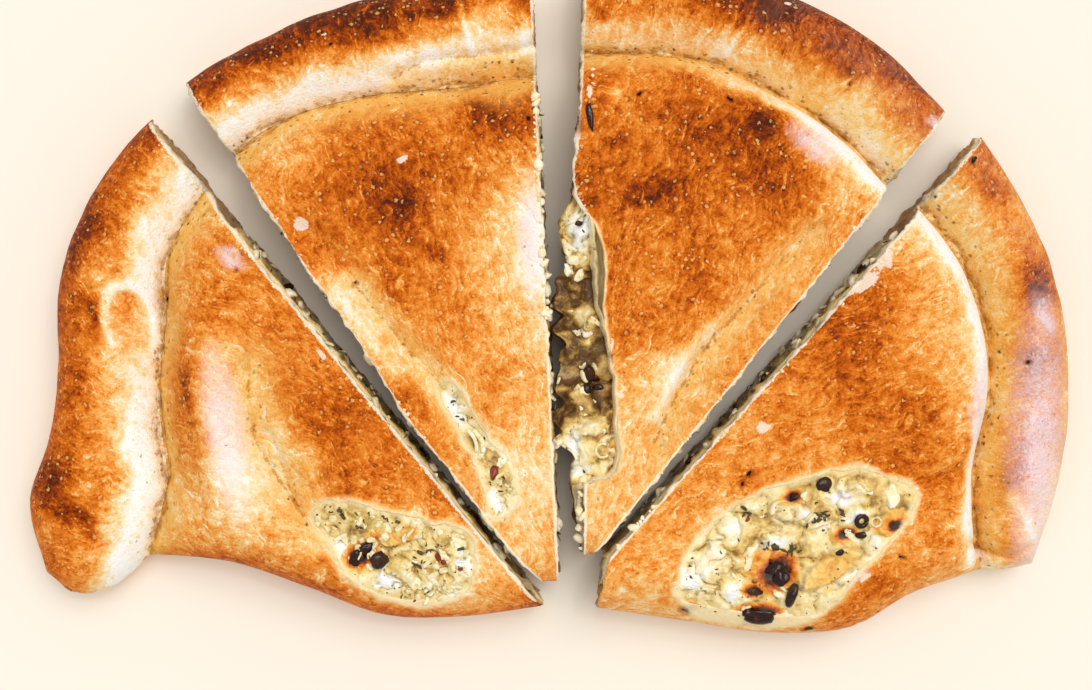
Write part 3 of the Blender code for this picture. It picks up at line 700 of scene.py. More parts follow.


# The filling: how far it lies under the crust's top where it shows, how lumpy it is, how much painted shade
# darkens it (most for slice 3's sunk filling), how green it is, over how wide an edge it has melted into
# the crust, the sizes of its lumps, and heaps, slabs, white, toasted and burnt places as (x, y, half
# length, half width, turn); heaps are kept out of the painted shade
fillings = {
    "slice1": {
        "sink": 1.4, "lumps": 1.3, "melted": 4.5, "paintedShade": 0.1, "green": 0.62, "size": (6.5, 2.6),
        "heaps": [(-46, 29, 9, 3, 10), (-32, 20, 5, 4, 0)],
        "slabs": [(-44, 28, 5.5, 2.2, 15)],
        "toast": [(-50, 28, 4, 3, 10), (-43, 28, 6.5, 3.4, 15), (-31, 19.5, 2.2, 1.8, 0)],
        "burnt": [(-55.5, 23.2, 5.2, 4.2, 20)],
        "white": [(-23.5, 20, 3, 8, 10), (-28, 8, 6, 3.5, 20), (-48, 14, 9, 3, -10), (-62, 27, 5, 3, -50)],
    },
    "slice2": {
        "sink": 1.8, "lumps": 1, "melted": 3.5, "paintedShade": 0.05, "green": 0.45, "size": (7, 2.8),
        "heaps": [(-18, 36, 6, 8, 20)],
        "slabs": [],
        "toast": [],
        "burnt": [],
        "white": [(-31, 60, 3, 5, 25), (-18.5, 29, 2.2, 5, 30), (-15, 24, 4, 4, 0)],
    },
    "slice3": {
        "sink": 7, "heaped": 5.4, "lumps": 1.8, "melted": 0.4, "paintedShade": 0.72, "green": 0.3,
        "size": (8.5, 3.4),
        "bulge": {
            0: 0, 0.1: 4, 0.16: 8, 0.2: 11, 0.24: 7.5, 0.28: 6.5, 0.33: 8, 0.41: 7, 0.455: 6.5, 0.51: 10,
            0.55: 5, 0.6: 2, 0.77: 1,
        },
        "heaps": [(2, 38, 10, 10, 0), (-3, 106, 6, 11, 0), (0, 80, 3, 4, 0)],
        "slabs": [],
        "toast": [(9, 38, 2.5, 2, 0)],
        "burnt": [],
        "white": [(-4, 38, 4, 5, 0), (-2, 107, 4, 7, 0), (1, 73, 2, 3, 0), (-3, 31, 4, 3, 0)],
    },
    "slice4": {
        "sink": 1.2, "lumps": 1.4, "melted": 3.2, "paintedShade": 0.03, "green": 0.48, "size": (10, 3.8),
        "heaps": [(84, 30, 9, 5, 10), (38, 4, 10, 9, 0), (62, 22, 8, 4, 30)],
        "slabs": [
            (74.6, 7, 11, 4.2, 42), (60, 24, 7, 3.4, 15), (70, 22, 6, 3, 35), (80, 33, 7, 4, 10),
            (40, 14, 7, 5, 60),
        ],
        "toast": [
            (92, 22, 7, 4, 40), (74.6, 7, 10.5, 4, 42), (53, 7, 8, 5.5, 20), (30.5, -9, 4.5, 2.6, 0),
            (60, 28.6, 4.6, 3.2, 10), (78, 17, 5.6, 3, 20), (53, -10, 8, 4, 0),
        ],
        "burnt": [
            (60.8, 28.2, 3, 2, 20), (57.4, 4, 7, 5.6, 40), (53, -10, 7.4, 3.6, 0), (78, 17.6, 3.8, 1.9, 20),
            (31, -9, 2.4, 1.4, 0), (93.4, 21.6, 3.2, 2, 40), (50, -2.4, 3.4, 2, 0),
        ],
        "white": [
            (30, 0, 5, 4, 0), (42, 17, 4, 4, 0), (43, -4, 4, 3, 0), (76, 29, 5, 3, 10), (80, 23, 4, 2, 30),
            (55, 12, 6, 2.4, 20),
        ],
    },
}


# Packed lumps with creases between: how far inside its lump each point lies, from 0 in the crease,
# and a random number for each lump
def packed(points, size, seed):
    at = points / size
    cell = np.floor(at).astype(int)
    centres = np.random.default_rng(seed).random((64, 64, 3))
    nearest, second, owner = np.full(len(at), 9.0), np.full(len(at), 9.0), np.zeros(len(at))
    for offset in itertools.product((-1, 0, 1), repeat=2):
        there = cell + offset
        pick = centres[there[:, 0] % 64, there[:, 1] % 64]
        distance = np.hypot(*(there + pick[:, :2] - at).T)
        closer = distance < nearest
        second = np.where(closer, nearest, np.minimum(second, distance))
        owner = np.where(closer, pick[:, 2], owner)
        nearest = np.minimum(nearest, distance)
    return np.clip((second - nearest) * 1.3, 0, 1), owner


# Levels from 0 to 1, three times as close together between low and high
def crowded(count, low, high):
    crowding = np.cumsum([0, low, 3 * (high - low), 1 - high]) / (1 + 2 * (high - low))
    return np.interp(np.linspace(0, 1, count), crowding, [0, low, high, 1])


def fillingPiece(part):
    look = fillings[part.name]
    start = 0.12 if part.tipBaked else 0
    gridU, gridV = (values.ravel() for values in np.meshgrid(np.linspace(0, 1, 60), np.linspace(0, 1, 60)))
    inTorn = within(part.plan(*part.tuck(gridU, mix(start, 0.77, gridV), heights["foldWall"])), part.torn)
    uRange, vRange = ((values[inTorn].min(), values[inTorn].max()) for values in (gridU, gridV))
    u, v, depth, faces = boxOf(10, crowded(150, *uRange), crowded(190, *vRange))
    held = part.tuck(u, mix(start, 0.77, v), heights["foldWall"])
    flat = part.plan(*held)
    level = onLevel(flat)
    ragged = 1 + 0.25 * noise(level, 12, 3) + 0.3 * noise(level, 4, 13, 2)
    spread = table(look.get("bulge", {0: 0, 1: 0}), held[1]) * np.clip(1 - u * 1.4, 0, 1) ** 2 * ragged
    moved = flat - np.column_stack([spread, spread * 0])
    edge, _ = fromLines(flat, part.bakedLines)
    dome = part.dome(*held, flat)
    fromEdge = np.minimum(edge - heights["foldWall"], part.toGroove(*held) - heights["seam"])
    crown = mix(9.5, dome - 8, rounding(fromEdge / heights["taper"]))
    edged = mix(heights["equator"], skin(part, *held, flat)[0], rounding(edge / heights["edgeRound"]))
    warped = moved + np.column_stack([noise(level, 5, 21, 3), noise(level, 5, 22, 3)]) * 3.4
    big, owner = packed(warped, look["size"][0], 40 + part.number)
    small, other = packed(warped + 0.5, look["size"][1], 50 + part.number)
    rough = ramp(noise(level, 12, 4, 2), -0.1, 0.35) * 0.8 + 0.2
    lumps = rounding(big) * (0.5 + owner) * 1.5 + rounding(small) * (0.3 + other) * 0.8 * rough
    into = part.intoOpening(moved)
    melted = look["melted"]
    deep = look["sink"] * ramp(into, -1, melted)
    risen = edged - 0.1 - deep + (lumps - 0.9) * look["lumps"] * ramp(into, 0, melted)
    risen = risen + 0.4 * noise(level, 3, 7) * ramp(into, 0, melted)
    heaped = marked(moved, look["heaps"])
    risen = risen + look.get("heaped", 1.8) * heaped
    slab = marked(warped * 0.4 + moved * 0.6, look["slabs"])
    risen = risen + 1.3 * ramp(slab, 0.3, 0.42)
    top = mix(crown, risen, ramp(into, -2.5, -1))
    z = mix(top, 5.3, depth)
    solid = np.column_stack([flat, z])
    lumpy = 1.1 * noise(solid, 5, 6, 3) + 0.3
    under = np.sin(np.clip(1.3 - depth, 0, 1) * math.pi / 2)[:, None]
    points = mix(flat, moved, under) + part.offWalls(u, v) * (lumpy * (depth > 0))[:, None]
    toast = np.maximum(0.4 * marked(moved, look["toast"]), marked(moved, look["burnt"]))
    fields = {
        "curd": np.minimum(big, mix(1, small, rough * 0.7)), "owner": mix(owner, other, 0.5 * rough),
        # Painted shade: the filling's cut walls are darkened, and heaps are kept out of the shade given for
        # the slice
        "paintedShade": np.maximum(look["paintedShade"] * (1 - ramp(heaped, 0.1, 0.5)), 0.55 * ramp(depth, 0, 0.3)),
        "inside": np.where(depth > 0, 9, np.clip(into, -1, 9) * 3 / melted), "toast": toast,
        "green": np.full(len(u), look["green"]), "slab": slab, "white": marked(moved, look["white"]),
    }
    return meshPiece(f"{part.name}Filling", np.column_stack([part.onBoard(points), z]), faces, fields)


# A colour by its three values up to 255, as the shader counts it
def rgb(colour):
    return tuple(c / 255 / 12.92 if c <= 10.3 else ((c / 255 + 0.055) / 1.055) ** 2.4 for c in colour)


# Shader maths as expressions on sockets
class Field:
    def __init__(self, look, socket):
        self.look, self.socket = look, socket

    def math(self, operation, *others, clamp=False):
        inputs = dict(enumerate((self, *others)))
        return self.look.node("ShaderNodeMath", {"operation": operation, "use_clamp": clamp}, inputs)

    def __add__(self, other):
        return self.math("ADD", other)

    def __sub__(self, other):
        return self.math("SUBTRACT", other)

    def __mul__(self, other):
        return self.math("MULTIPLY", other)

    def __truediv__(self, other):
        return self.math("DIVIDE", other)

    def __neg__(self):
        return self * -1

    def __rsub__(self, other):
        return -self + other

    __radd__, __rmul__ = __add__, __mul__

    def __abs__(self):
        return self.math("ABSOLUTE")

    def clip(self):
        return self.math("ADD", 0.0, clamp=True)

    # Another output of the same node
    def other(self, output):
        return Field(self.look, self.socket.node.outputs[output])

    # 0 at low, 1 at high, smooth between; falls instead where low is the larger
    def between(self, low, high):
        inputs = {"Value": self, "From Min": low, "From Max": high}
        return self.look.node("ShaderNodeMapRange", {"interpolation_type": "SMOOTHSTEP"}, inputs)


class Look:
    def __init__(self, name, settings):
        self.material = bpy.data.materials.new(name)
        self.material.use_nodes = True
        self.nodes, self.links = self.material.node_tree.nodes, self.material.node_tree.links
        self.shader = self.nodes["Principled BSDF"]
        for socket, value in settings.items():
            self.shader.inputs[socket].default_value = value
        # The point on the board in millimetres
        self.place = self.vectors("SCALE", self.node("ShaderNodeTexCoord", {}, {}, "Object"), Scale=1000.0)

    def node(self, kind, settings, inputs, output=0):
        made = self.nodes.new(kind)
        for key, value in settings.items():
            if key == "stops":
                for i, (position, colour) in enumerate(value):
                    stop = made.color_ramp.elements[i] if i < 2 else made.color_ramp.elements.new(position)
                    stop.position, stop.color = position, (*rgb(colour), 1)
            else:
                setattr(made, key, value)
        for key, value in inputs.items():
            if isinstance(value, Field):
                self.links.new(value.socket, made.inputs[key])
            else:
                made.inputs[key].default_value = value
        return Field(self, made.outputs[output])

    def field(self, name, output="Fac"):
        return self.node("ShaderNodeAttribute", {"attribute_name": name}, {}, output)

    def vectors(self, operation, a, b=None, **more):
        inputs = {0: a, **more}
        if b is not None:
            inputs[1] = b
        return self.node("ShaderNodeVectorMath", {"operation": operation}, inputs)

    # Noise from -1 to 1, its features about size millimetres
    def noise(self, size, detail=2.0, at=None, rough=0.5):
        inputs = {"Vector": at or self.place, "Scale": 1 / size, "Detail": detail, "Roughness": rough}
        return self.node("ShaderNodeTexNoise", {}, inputs) * 2 - 1

    def cells(self, size, at=None, output="Distance"):
        inputs = {"Vector": at or self.place, "Scale": 1 / size}
        return self.node("ShaderNodeTexVoronoi", {}, inputs, output)

    # Round dots, in only some of the cells
    def dots(self, size, radius, share, seed=0.0):
        at = self.vectors("ADD", self.place, (seed, seed, seed))
        cell = self.cells(size, at)
        red = self.node("ShaderNodeSeparateColor", {}, {"Color": cell.other("Color")})
        wide = radius * (0.6 + red.other("Green") * 0.8) / size
        return (cell / wide).between(1.0, 0.7) * red.between(share + 0.02, share - 0.02)

    def stops(self, value, colours):
        return self.node("ShaderNodeValToRGB", {"stops": colours}, {"Fac": value})

    def blend(self, a, b, share):
        a, b = ((*rgb(value), 1) if isinstance(value, tuple) else value for value in (a, b))
        return self.node("ShaderNodeMix", {"data_type": "RGBA"}, {0: share, 6: a, 7: b}, 2)

    def bump(self, height, distance, strength=1.0):
        inputs = {"Height": height, "Distance": distance * mm, "Strength": strength}
        return self.node("ShaderNodeBump", {}, inputs)

    def finish(self, **sockets):
        for key, value in sockets.items():
            self.links.new(value.socket, self.shader.inputs[key.replace("_", " ")])
        return self.material


doughFinish = {
    "baking": [  # from white to burnt
        (0.0, (255, 255, 252)), (0.06, (255, 251, 238)), (0.15, (253, 232, 190)), (0.28, (250, 205, 136)),
        (0.42, (245, 168, 80)), (0.56, (230, 131, 40)), (0.68, (205, 100, 12)), (0.8, (164, 68, 6)),
        (0.9, (122, 46, 8)), (1.0, (80, 32, 14)),
    ],
    # Of these, the ochre brown after the groove colour is painted shade in the groove's crease
    "groove": (244, 196, 100), "grooveShade": (172, 112, 34), "blister": (250, 196, 116),
    # The pale lavender on the next line is a painted highlight, and the mauve brown a painted sheen
    "paintedSheenColour": (178, 120, 100), "glossAndPaintedHighlight": (247, 228, 234), "pit": (96, 52, 14), "flour": (254, 236, 216),
    "edgeLine": (255, 242, 216), "scorch": (150, 60, 12), "burnt": (26, 10, 6), "torn": (253, 234, 186),
    "crumb": [(0.25, (222, 184, 124)), (0.7, (255, 244, 216))],
    # The darker crumb brown on the next line is painted shade down the cut walls
    "pore": (150, 104, 56), "deep": (168, 122, 70),
    "rough": 0.55,
    "relief": (0.45, 0.85),  # how high the fine bumps are, in millimetres, and how strong
}


def doughLook():
    finish = doughFinish
    look = Look("bakedDough", {"Specular IOR Level": 0.06, "Coat Roughness": 0.3})
    bake, green, glossAndPaintedHighlight, pinch, spot, flour, crumb, inside, paintedSheen = (look.field(name) for name in (
        "bake", "green", "glossAndPaintedHighlight", "pinch", "spot", "flour", "crumb", "inside", "paintedSheen"))
    cloud, mottle, grain = look.noise(15, 2), look.noise(3.4, 5, rough=0.74), look.noise(0.8, 1)

    # The skin is drawn across the rim and outwards on the dome: soft streaks, and fine wrinkles
    sway = look.node("ShaderNodeCombineXYZ", {}, {"X": cloud * 8 + mottle * 1.8})
    flow = look.vectors("ADD", look.field("flow", "Vector"), sway)
    streaks = look.noise(1, 2, look.vectors("MULTIPLY", flow, (0.75, 0.14, 1.0)), 0.65)
    wrinkles = abs(look.noise(1, 1, look.vectors("MULTIPLY", flow, (0.36, 0.13, 1.0)))).between(0.06, 0.0)
    wrinkles = wrinkles * streaks.between(-0.05, 0.25)
    cell = look.cells(4.5, output="Position")
    ways = look.node("ShaderNodeSeparateColor", {}, {"Color": cell.other("Color")})
    local = look.node("ShaderNodeVectorRotate", {"rotation_type": "Z_AXIS"}, {
        "Vector": look.vectors("SUBTRACT", look.place, cell), "Angle": ways * 6.3})
    strokes = look.noise(1, 1, look.vectors("MULTIPLY", local, (0.8, 1.9, 0.8)), 0.6)

    # Blisters, holes and specks, one or none in each cell
    uneven = look.node("ShaderNodeCombineXYZ", {}, {"X": mottle * 1.4, "Y": grain * 0.7})
    dot = look.cells(2.1, look.vectors("ADD", look.place, uneven))
    choice = look.node("ShaderNodeSeparateColor", {}, {"Color": dot.other("Color")})
    near = dot / (choice.other("Green") * 0.9 + 0.45)
    blistered = choice.between(0.6, 0.56) * cloud.between(-0.5, 0.1)
    # The darker ring round each blister, added to the tone, is painted shade at its foot
    blisters, rings = near.between(0.3, 0.16) * blistered, near.between(0.55, 0.34) * blistered
    pits = near.between(0.2, 0.08) * choice.between(0.88, 0.9)
    specks = (near + grain * 0.15).between(0.36, 0.2) * choice.between(0.56, 0.6) * green.between(0.3, 0.6)

    baked = bake.between(0.04, 0.36)
    tone = bake + cloud * 0.12 + mottle * (0.16 + baked * 0.24) + grain * 0.1 + rings * 0.08
    tone = tone - (strokes * 0.12 + streaks * 0.22 + wrinkles * 0.2) * (0.25 + baked * 0.75)
    colour = look.stops(tone.clip(), finish["baking"])
    colour = look.blend(colour, finish["groove"], (green * (0.9 + mottle * 0.9)).clip() * 0.8)
    # Painted shade in the groove's crease: darker ochre where the skin is pinched in
    grooveShade = (pinch + mottle * 1.1 + grain * 0.2).between(0.75, 1.15) * green.between(0.1, 0.4)
    colour = look.blend(colour, finish["grooveShade"], grooveShade * 0.6)
    colour = look.blend(colour, finish["blister"], blisters * baked * 0.7)
    # Painted sheen: a mauve haze blended over the outer half of the rim on the right slices
    colour = look.blend(colour, finish["paintedSheenColour"], (paintedSheen * (0.5 + cloud + streaks)).clip() * 0.4)
    # Painted highlight: a pale lavender colour blended into the skin where it is glossiest; the same marks
    # also set the real coat and roughness
    paintedHighlight = (glossAndPaintedHighlight * (1.2 + mottle * 2 + strokes)).clip()
    colour = look.blend(colour, finish["glossAndPaintedHighlight"], paintedHighlight * 0.72)
    colour = look.blend(colour, finish["pit"], (pits * 0.55 + specks * 0.6).clip())
    floury = (flour + mottle * 0.6 + grain * 0.2).between(0.42, 0.54) * flour.between(0.0, 0.2)
    colour = look.blend(colour, finish["flour"], floury * 0.78)
    edging = (look.field("cutEdge") + mottle * 0.6 + grain * 0.3).between(0.55, 0.8)
    colour = look.blend(colour, finish["edgeLine"], edging * 0.85)
    burnt = spot * (1 + mottle * 0.6 + grain * 0.2)
    colour = look.blend(colour, finish["scorch"], burnt.between(0.1, 0.5) * 0.6)
    colour = look.blend(colour, finish["burnt"], burnt.between(0.55, 0.72) * 0.95)
    colour = look.blend(colour, finish["torn"], (inside + mottle * 1.4).between(-2.1, 0.2) * 0.8)
    crumbColour = look.stops(mottle * 0.6 + grain * 0.3 + 0.5, finish["crumb"])
    pores = (look.cells(1.7) + grain * 0.2).between(0.3, 0.12) * mottle.between(-0.3, 0.3)
    crumbColour = look.blend(crumbColour, finish["pore"], pores * 0.8)
    # Painted shade: the crumb on the cut walls darkens further down under the top skin
    paintedWallShade = look.field("underSkin").between(2.5, 7) * (0.7 + mottle).clip()
    crumbColour = look.blend(crumbColour, finish["deep"], paintedWallShade)
    colour = look.blend(colour, crumbColour, crumb * look.field("underSkin").between(0.4, 1.4))
    height = grain * 0.3 + mottle * 1.2 - streaks * 0.5 - pores * crumb * 2
    return look.finish(
        Base_Color=colour, Roughness=finish["rough"] + grain * 0.1 + crumb * 0.3 - glossAndPaintedHighlight * 0.25,
        Coat_Weight=(glossAndPaintedHighlight * 0.9).clip(), Normal=look.bump(height, *finish["relief"]),
    )


fillingFinish = {
    "cream": [
        (0.0, (104, 70, 32)), (0.2, (190, 148, 76)), (0.4, (240, 206, 126)), (0.62, (252, 236, 186)),
        (0.9, (255, 255, 250)),
    ],
    "toasting": [
        (0.14, (250, 214, 124)), (0.3, (246, 172, 62)), (0.46, (222, 108, 22)), (0.6, (124, 36, 8)),
        (0.74, (30, 10, 8)),
    ],
    # The mid brown on the next line, after the greenish colour, is painted shade in the creases between the
    # curds
    "greenish": (214, 188, 104), "lumpShade": (116, 84, 38), "herb": (64, 56, 26),
    "slab": (250, 206, 116), "slabEdge": (176, 122, 56), "cut": (252, 232, 180),
    "rough": 0.34,
    "relief": (0.5, 0.8),
}


def fillingLook():
    finish = fillingFinish
    look = Look("creamyFilling", {
        "Subsurface Weight": 0.12, "Subsurface Scale": 0.002, "Coat Weight": 0.3, "Coat Roughness": 0.12,
        "Subsurface Radius": (1.0, 0.75, 0.5), "Specular IOR Level": 0.2,
    })
    curd, owner, toast, paintedShade, green, inside, slab, white = (
        look.field(name) for name in ("curd", "owner", "toast", "paintedShade", "green", "inside", "slab", "white")
    )
    patches, grain = look.noise(5, 5, rough=0.65), look.noise(1.1, 4, rough=0.7)
    # Painted shade darkens the filling where given
    light = 0.16 + patches * 0.6 + grain * 0.12 + curd * 0.2 + owner * 0.45 - paintedShade * 0.62 + white * 0.6
    colour = look.stops(light.clip(), finish["cream"])
    greenish = (look.noise(6, 3) * 1.4 + green - 0.4).between(0.0, 0.7)
    colour = look.blend(colour, finish["greenish"], greenish * 0.6 * (1.15 - owner - white).clip())
    # Painted shade in the creases between the curds
    paintedLumpShade = (curd + grain * 0.25).between(0.2, 0.0) * patches.between(0.25, -0.2)
    colour = look.blend(colour, finish["lumpShade"], paintedLumpShade * 0.6)
    herbs = look.dots(1.6, 0.34, 0.45, seed=4.0) * look.noise(5.0).between(-0.1, 0.2)
    colour = look.blend(colour, finish["herb"], (herbs * (0.4 + green)).clip() * 0.85)
    hot = toast + (patches * 0.4 + grain * 0.12) * toast.between(0.0, 0.2)
    toasted = look.stops((hot * 1.1).clip(), finish["toasting"])
    colour = look.blend(colour, toasted, hot.between(0.1, 0.24) * 0.95)
    colour = look.blend(colour, finish["slab"], slab.between(0.3, 0.42) * toast.between(0.02, 0.2) * 0.75)
    rim = slab.between(0.26, 0.34) * slab.between(0.44, 0.36)
    colour = look.blend(colour, finish["slabEdge"], rim * (0.35 + patches).clip() * 0.8)
    colour = look.blend(colour, finish["cut"], (inside + patches * 2.4).between(1.2, -0.2) * 0.7)
    height = grain * 0.45 + patches * 0.7 + curd * 0.5
    return look.finish(
        Base_Color=colour, Roughness=finish["rough"] + grain * 0.12,
        Normal=look.bump(height, *finish["relief"]),
    )


def plainLook(name, colours, size, rough, settings):
    look = Look(name, settings)
    patches, grain = look.noise(size, 3, rough=0.6), look.noise(size / 4, 3)
    colour = look.stops((patches * 0.5 + grain * 0.15 + 0.5).clip(), colours)
    normal = look.bump(grain * 0.5 + patches * 0.5, 0.2, 0.6)
    return look.finish(Base_Color=colour, Roughness=(rough + grain * 0.1).clip(), Normal=normal)


def rideAs(piece, material, node=None):
    piece.data.materials.append(material)
    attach(piece, "root")
    if node:
        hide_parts(node)


dough, creamy = doughLook(), fillingLook()
parts = {name: Slice(name) for name in slices}
grounds = {}


# The first surface met from above at a point on the board
class Ground:
    def __init__(self, *pieces):
        self.trees = []
        for piece in pieces:
            mesh = piece.data
            points = np.empty(len(mesh.vertices) * 3)
            mesh.vertices.foreach_get("co", points)
            faces = [face.vertices for face in mesh.polygons]
            self.trees.append(BVHTree.FromPolygons(points.reshape(-1, 3) / mm, faces))

    def at(self, x, y):
        hits = [tree.ray_cast(Vector((x, y, 90)), Vector((0, 0, -1))) for tree in self.trees]
        hits = [hit for hit in hits if hit[0] is not None]
        if not hits:
            return None
        hit = max(hits, key=lambda found: found[0].z)
        return np.array(hit[0]), np.array(hit[1])


for name, part in parts.items():
    crust, filling = crustPiece(part), fillingPiece(part)
    rideAs(crust, dough, f"{name}_crust")
    rideAs(filling, creamy, f"{name}_filling")
    grounds[name] = Ground(crust, filling)
    print("made", name)


def roundBody(detail):
    body = bmesh.new()
    bmesh.ops.create_icosphere(body, subdivisions=detail, radius=1)
    points = np.array([vertex.co for vertex in body.verts])
    faces = [[vertex.index for vertex in face.verts] for face in body.faces]
    body.free()
    return points, faces


bodies = {detail: roundBody(detail) for detail in (1, 2, 3)}


# A closed tube along a path of points, with a radius for each; flat squashes it
def tube(path, radii, flat=0.5, sides=7):
    path = np.asarray(path, float)
    run = np.gradient(path, axis=0)
    run /= np.linalg.norm(run, axis=1)[:, None]
    across = np.cross(run, (0, 0, 1.0))
    up = np.cross(across, run)
    turns = np.arange(sides) / sides * 2 * math.pi
    rings = [
        point + radius * (np.outer(np.cos(turns), a) + flat * np.outer(np.sin(turns), b))
        for point, radius, a, b in zip(path, np.broadcast_to(radii, len(path)), across, up)
    ]
    faces = []
    for ring, k in itertools.product(range(len(path) - 1), range(sides)):
        low, high = ring * sides, (ring + 1) * sides
        faces.append([low + k, low + (k + 1) % sides, high + (k + 1) % sides, high + k])
    faces.append(list(range(sides))[::-1])
    faces.append([(len(path) - 1) * sides + k for k in range(sides)])
    return np.concatenate(rings), faces


def unit(vector):
    return vector / np.linalg.norm(vector)


# Small bits of one kind, set on the slices and joined to one piece
class Bits:
    def __init__(self, name, spec):
        self.name, self.spec, self.points, self.faces, self.count = name, spec, [], [], 0
        self.random = np.random.default_rng(spec["seed"])

    def join(self, body, lengthwise, normal, place):
        points, faces = body
        self.points.append(points @ np.stack([lengthwise, np.cross(normal, lengthwise), normal]) + place)
        self.faces += [[index + self.count for index in face] for face in faces]
        self.count += len(points)

    # On whatever lies uppermost at x and y in the slice's own frame
    def add(self, body, part, x, y, turn=0.0, lift=0.0, tilt=0.2, move=(0, 0, 0)):
        ground = grounds[part.name].at(*part.onBoard((x, y)))
        if ground is None:
            return
        at, normal = ground
        normal = normal + self.random.normal(0, tilt, 3)
        normal[2] = abs(normal[2]) + 0.6
        normal = unit(normal)
        turn = math.radians(turn + part.spec["turn"])
        lengthwise = np.array([math.cos(turn), math.sin(turn), 0])
        lengthwise = unit(lengthwise - normal * (lengthwise @ normal))
        self.join(body, lengthwise, normal, at + normal * lift + move)

    # On a cut face, by how far along it and how high
    def stick(self, body, part, u, v, height, out=0.3):
        faceNormal = np.array([*turned(part.facing(u), part.spec["turn"]), 0])
        normal = unit(faceNormal + self.random.normal(0, 0.4, 3))
        turn = self.random.uniform(0, 2 * math.pi)
        level = unit(np.cross(normal, (0, 0, 1.0)))
        lengthwise = math.cos(turn) * level + math.sin(turn) * np.cross(normal, level)
        place = np.array([*part.onBoard(part.spotAt(u, v)), height]) + faceNormal * out
        self.join(body, lengthwise, normal, place)

    # Places (part, u, v, height) scattered over the filling in all the cut faces
    def onFaces(self):
        for part in parts.values():
            for u in (at for side, at in zip(part.sides, (0.0, 1.0)) if not side.baked):
                for v in self.random.uniform(0.06, 0.74, self.spec["onFaces"]):
                    top = part.dome(np.array([u]), np.array([v]), part.spotAt(u, v)[None])[0]
                    yield part, u, v, self.random.uniform(7, top - 6)

    # A lump of the given half sizes; boxy below 1 squares it off
    def lump(self, half, boxy=1.0, rough=0.25, detail=2):
        points, faces = bodies[detail]
        shaped = np.sign(points) * abs(points) ** boxy
        seed = self.random.uniform(0, 90)
        swell = 1 + rough * noise(points, 0.9, seed) + rough * 0.5 * noise(points, 0.4, seed)
        return shaped * swell[:, None] * half, faces

    def shred(self, length, width, flat=0.4):
        t = np.linspace(-1, 1, 7)
        bend = self.random.uniform(-0.5, 0.5)
        path = np.column_stack([t * length / 2, bend * length / 2 * t**2, t * 0])
        return tube(path, width / 2 * np.sqrt(1.05 - t**2), flat, 6)

    def arc(self, radius, width, start, end, flat=0.8):
        turns = np.radians(np.linspace(start, end, 18))
        path = np.column_stack([radius * np.cos(turns), radius * np.sin(turns), turns * 0])
        return tube(path, width / 2, flat, 8)

    # Places inside a torn opening, in clumps
    def strewn(self, part, count, into=1.0, clump=8.0, seed=0):
        low, high = part.torn.min(0), part.torn.max(0)
        spots = self.random.uniform(low, high, (count * 12, 2))
        thick = noise(onLevel(spots), clump, seed) > self.random.uniform(-0.7, 0.5, len(spots))
        return spots[(part.intoOpening(spots) > into) & thick][:count]

    # Lumps and arcs that have a place of their own
    def setDown(self):
        for part, x, y, half, turn in self.spec.get("placed", ()):
            body = self.lump(half, *self.spec["lump"])
            self.add(body, part, x, y, turn, half[2] * self.spec["lift"], 0.1)
        for shape, place in self.spec.get("arcs", ()):
            self.add(self.arc(*shape), *place)

    def make(self):
        piece = meshPiece(self.name, np.concatenate(self.points), self.faces)
        look = plainLook(*(self.spec[key] for key in ("look", "colours", "grain", "rough", "shader")))
        rideAs(piece, look)
        print("made", self.name, len(self.faces))


one, two, three, four = parts.values()
glossy = {"Specular IOR Level": 0.1, "Coat Weight": 0.4, "Coat Roughness": 0.08}
moist = {"Specular IOR Level": 0.2, "Coat Weight": 0.3, "Coat Roughness": 0.1}

# Each placed bit is a slice, x, y, half sizes and turn; each arc is its radius, width, ends and
# flatness, then a slice, x, y, turn, lift and tilt
olives = Bits("olives", {
    "look": "blackOlive", "colours": [(0.3, (20, 10, 8)), (0.7, (70, 36, 20))],
    "grain": 3, "rough": 0.25, "shader": glossy,
    "seed": 5, "lump": (0.9, 0.2, 3), "lift": 0.35, "onFaces": 3,
    "placed": [
        (four, 70.5, 32.6, (2.6, 2.3, 0.9), 20), (four, 83.2, 17.6, (1.9, 1.1, 0.8), 10),
        (four, 76.4, 12, (1.4, 1.0, 0.7), 30), (four, 62.6, -2.8, (1.6, 3.8, 1.7), -15),
        (four, 51, -2.6, (2.6, 1.2, 0.8), 0), (one, -50.2, 21.2, (2.9, 2.6, 1.5), 20),
        (three, 1.0, 62, (1.8, 3.0, 1.4), 10), (three, 0.5, 57, (1.3, 1.6, 1.0), 0),
        (three, 4.2, 57.5, (1.6, 1.1, 0.8), 0), (three, -2.8, 109.6, (1.2, 0.8, 0.8), 0),
    ],
    "arcs": [((1.7, 1.7, 0, 350), (four, 82.7, 22.2, 0, 0.4))],
})
olives.setDown()
for place in olives.onFaces():
    olives.stick(olives.lump((2.2, 1.6, 0.9), 0.9, 0.25, 3), *place)
olives.make()

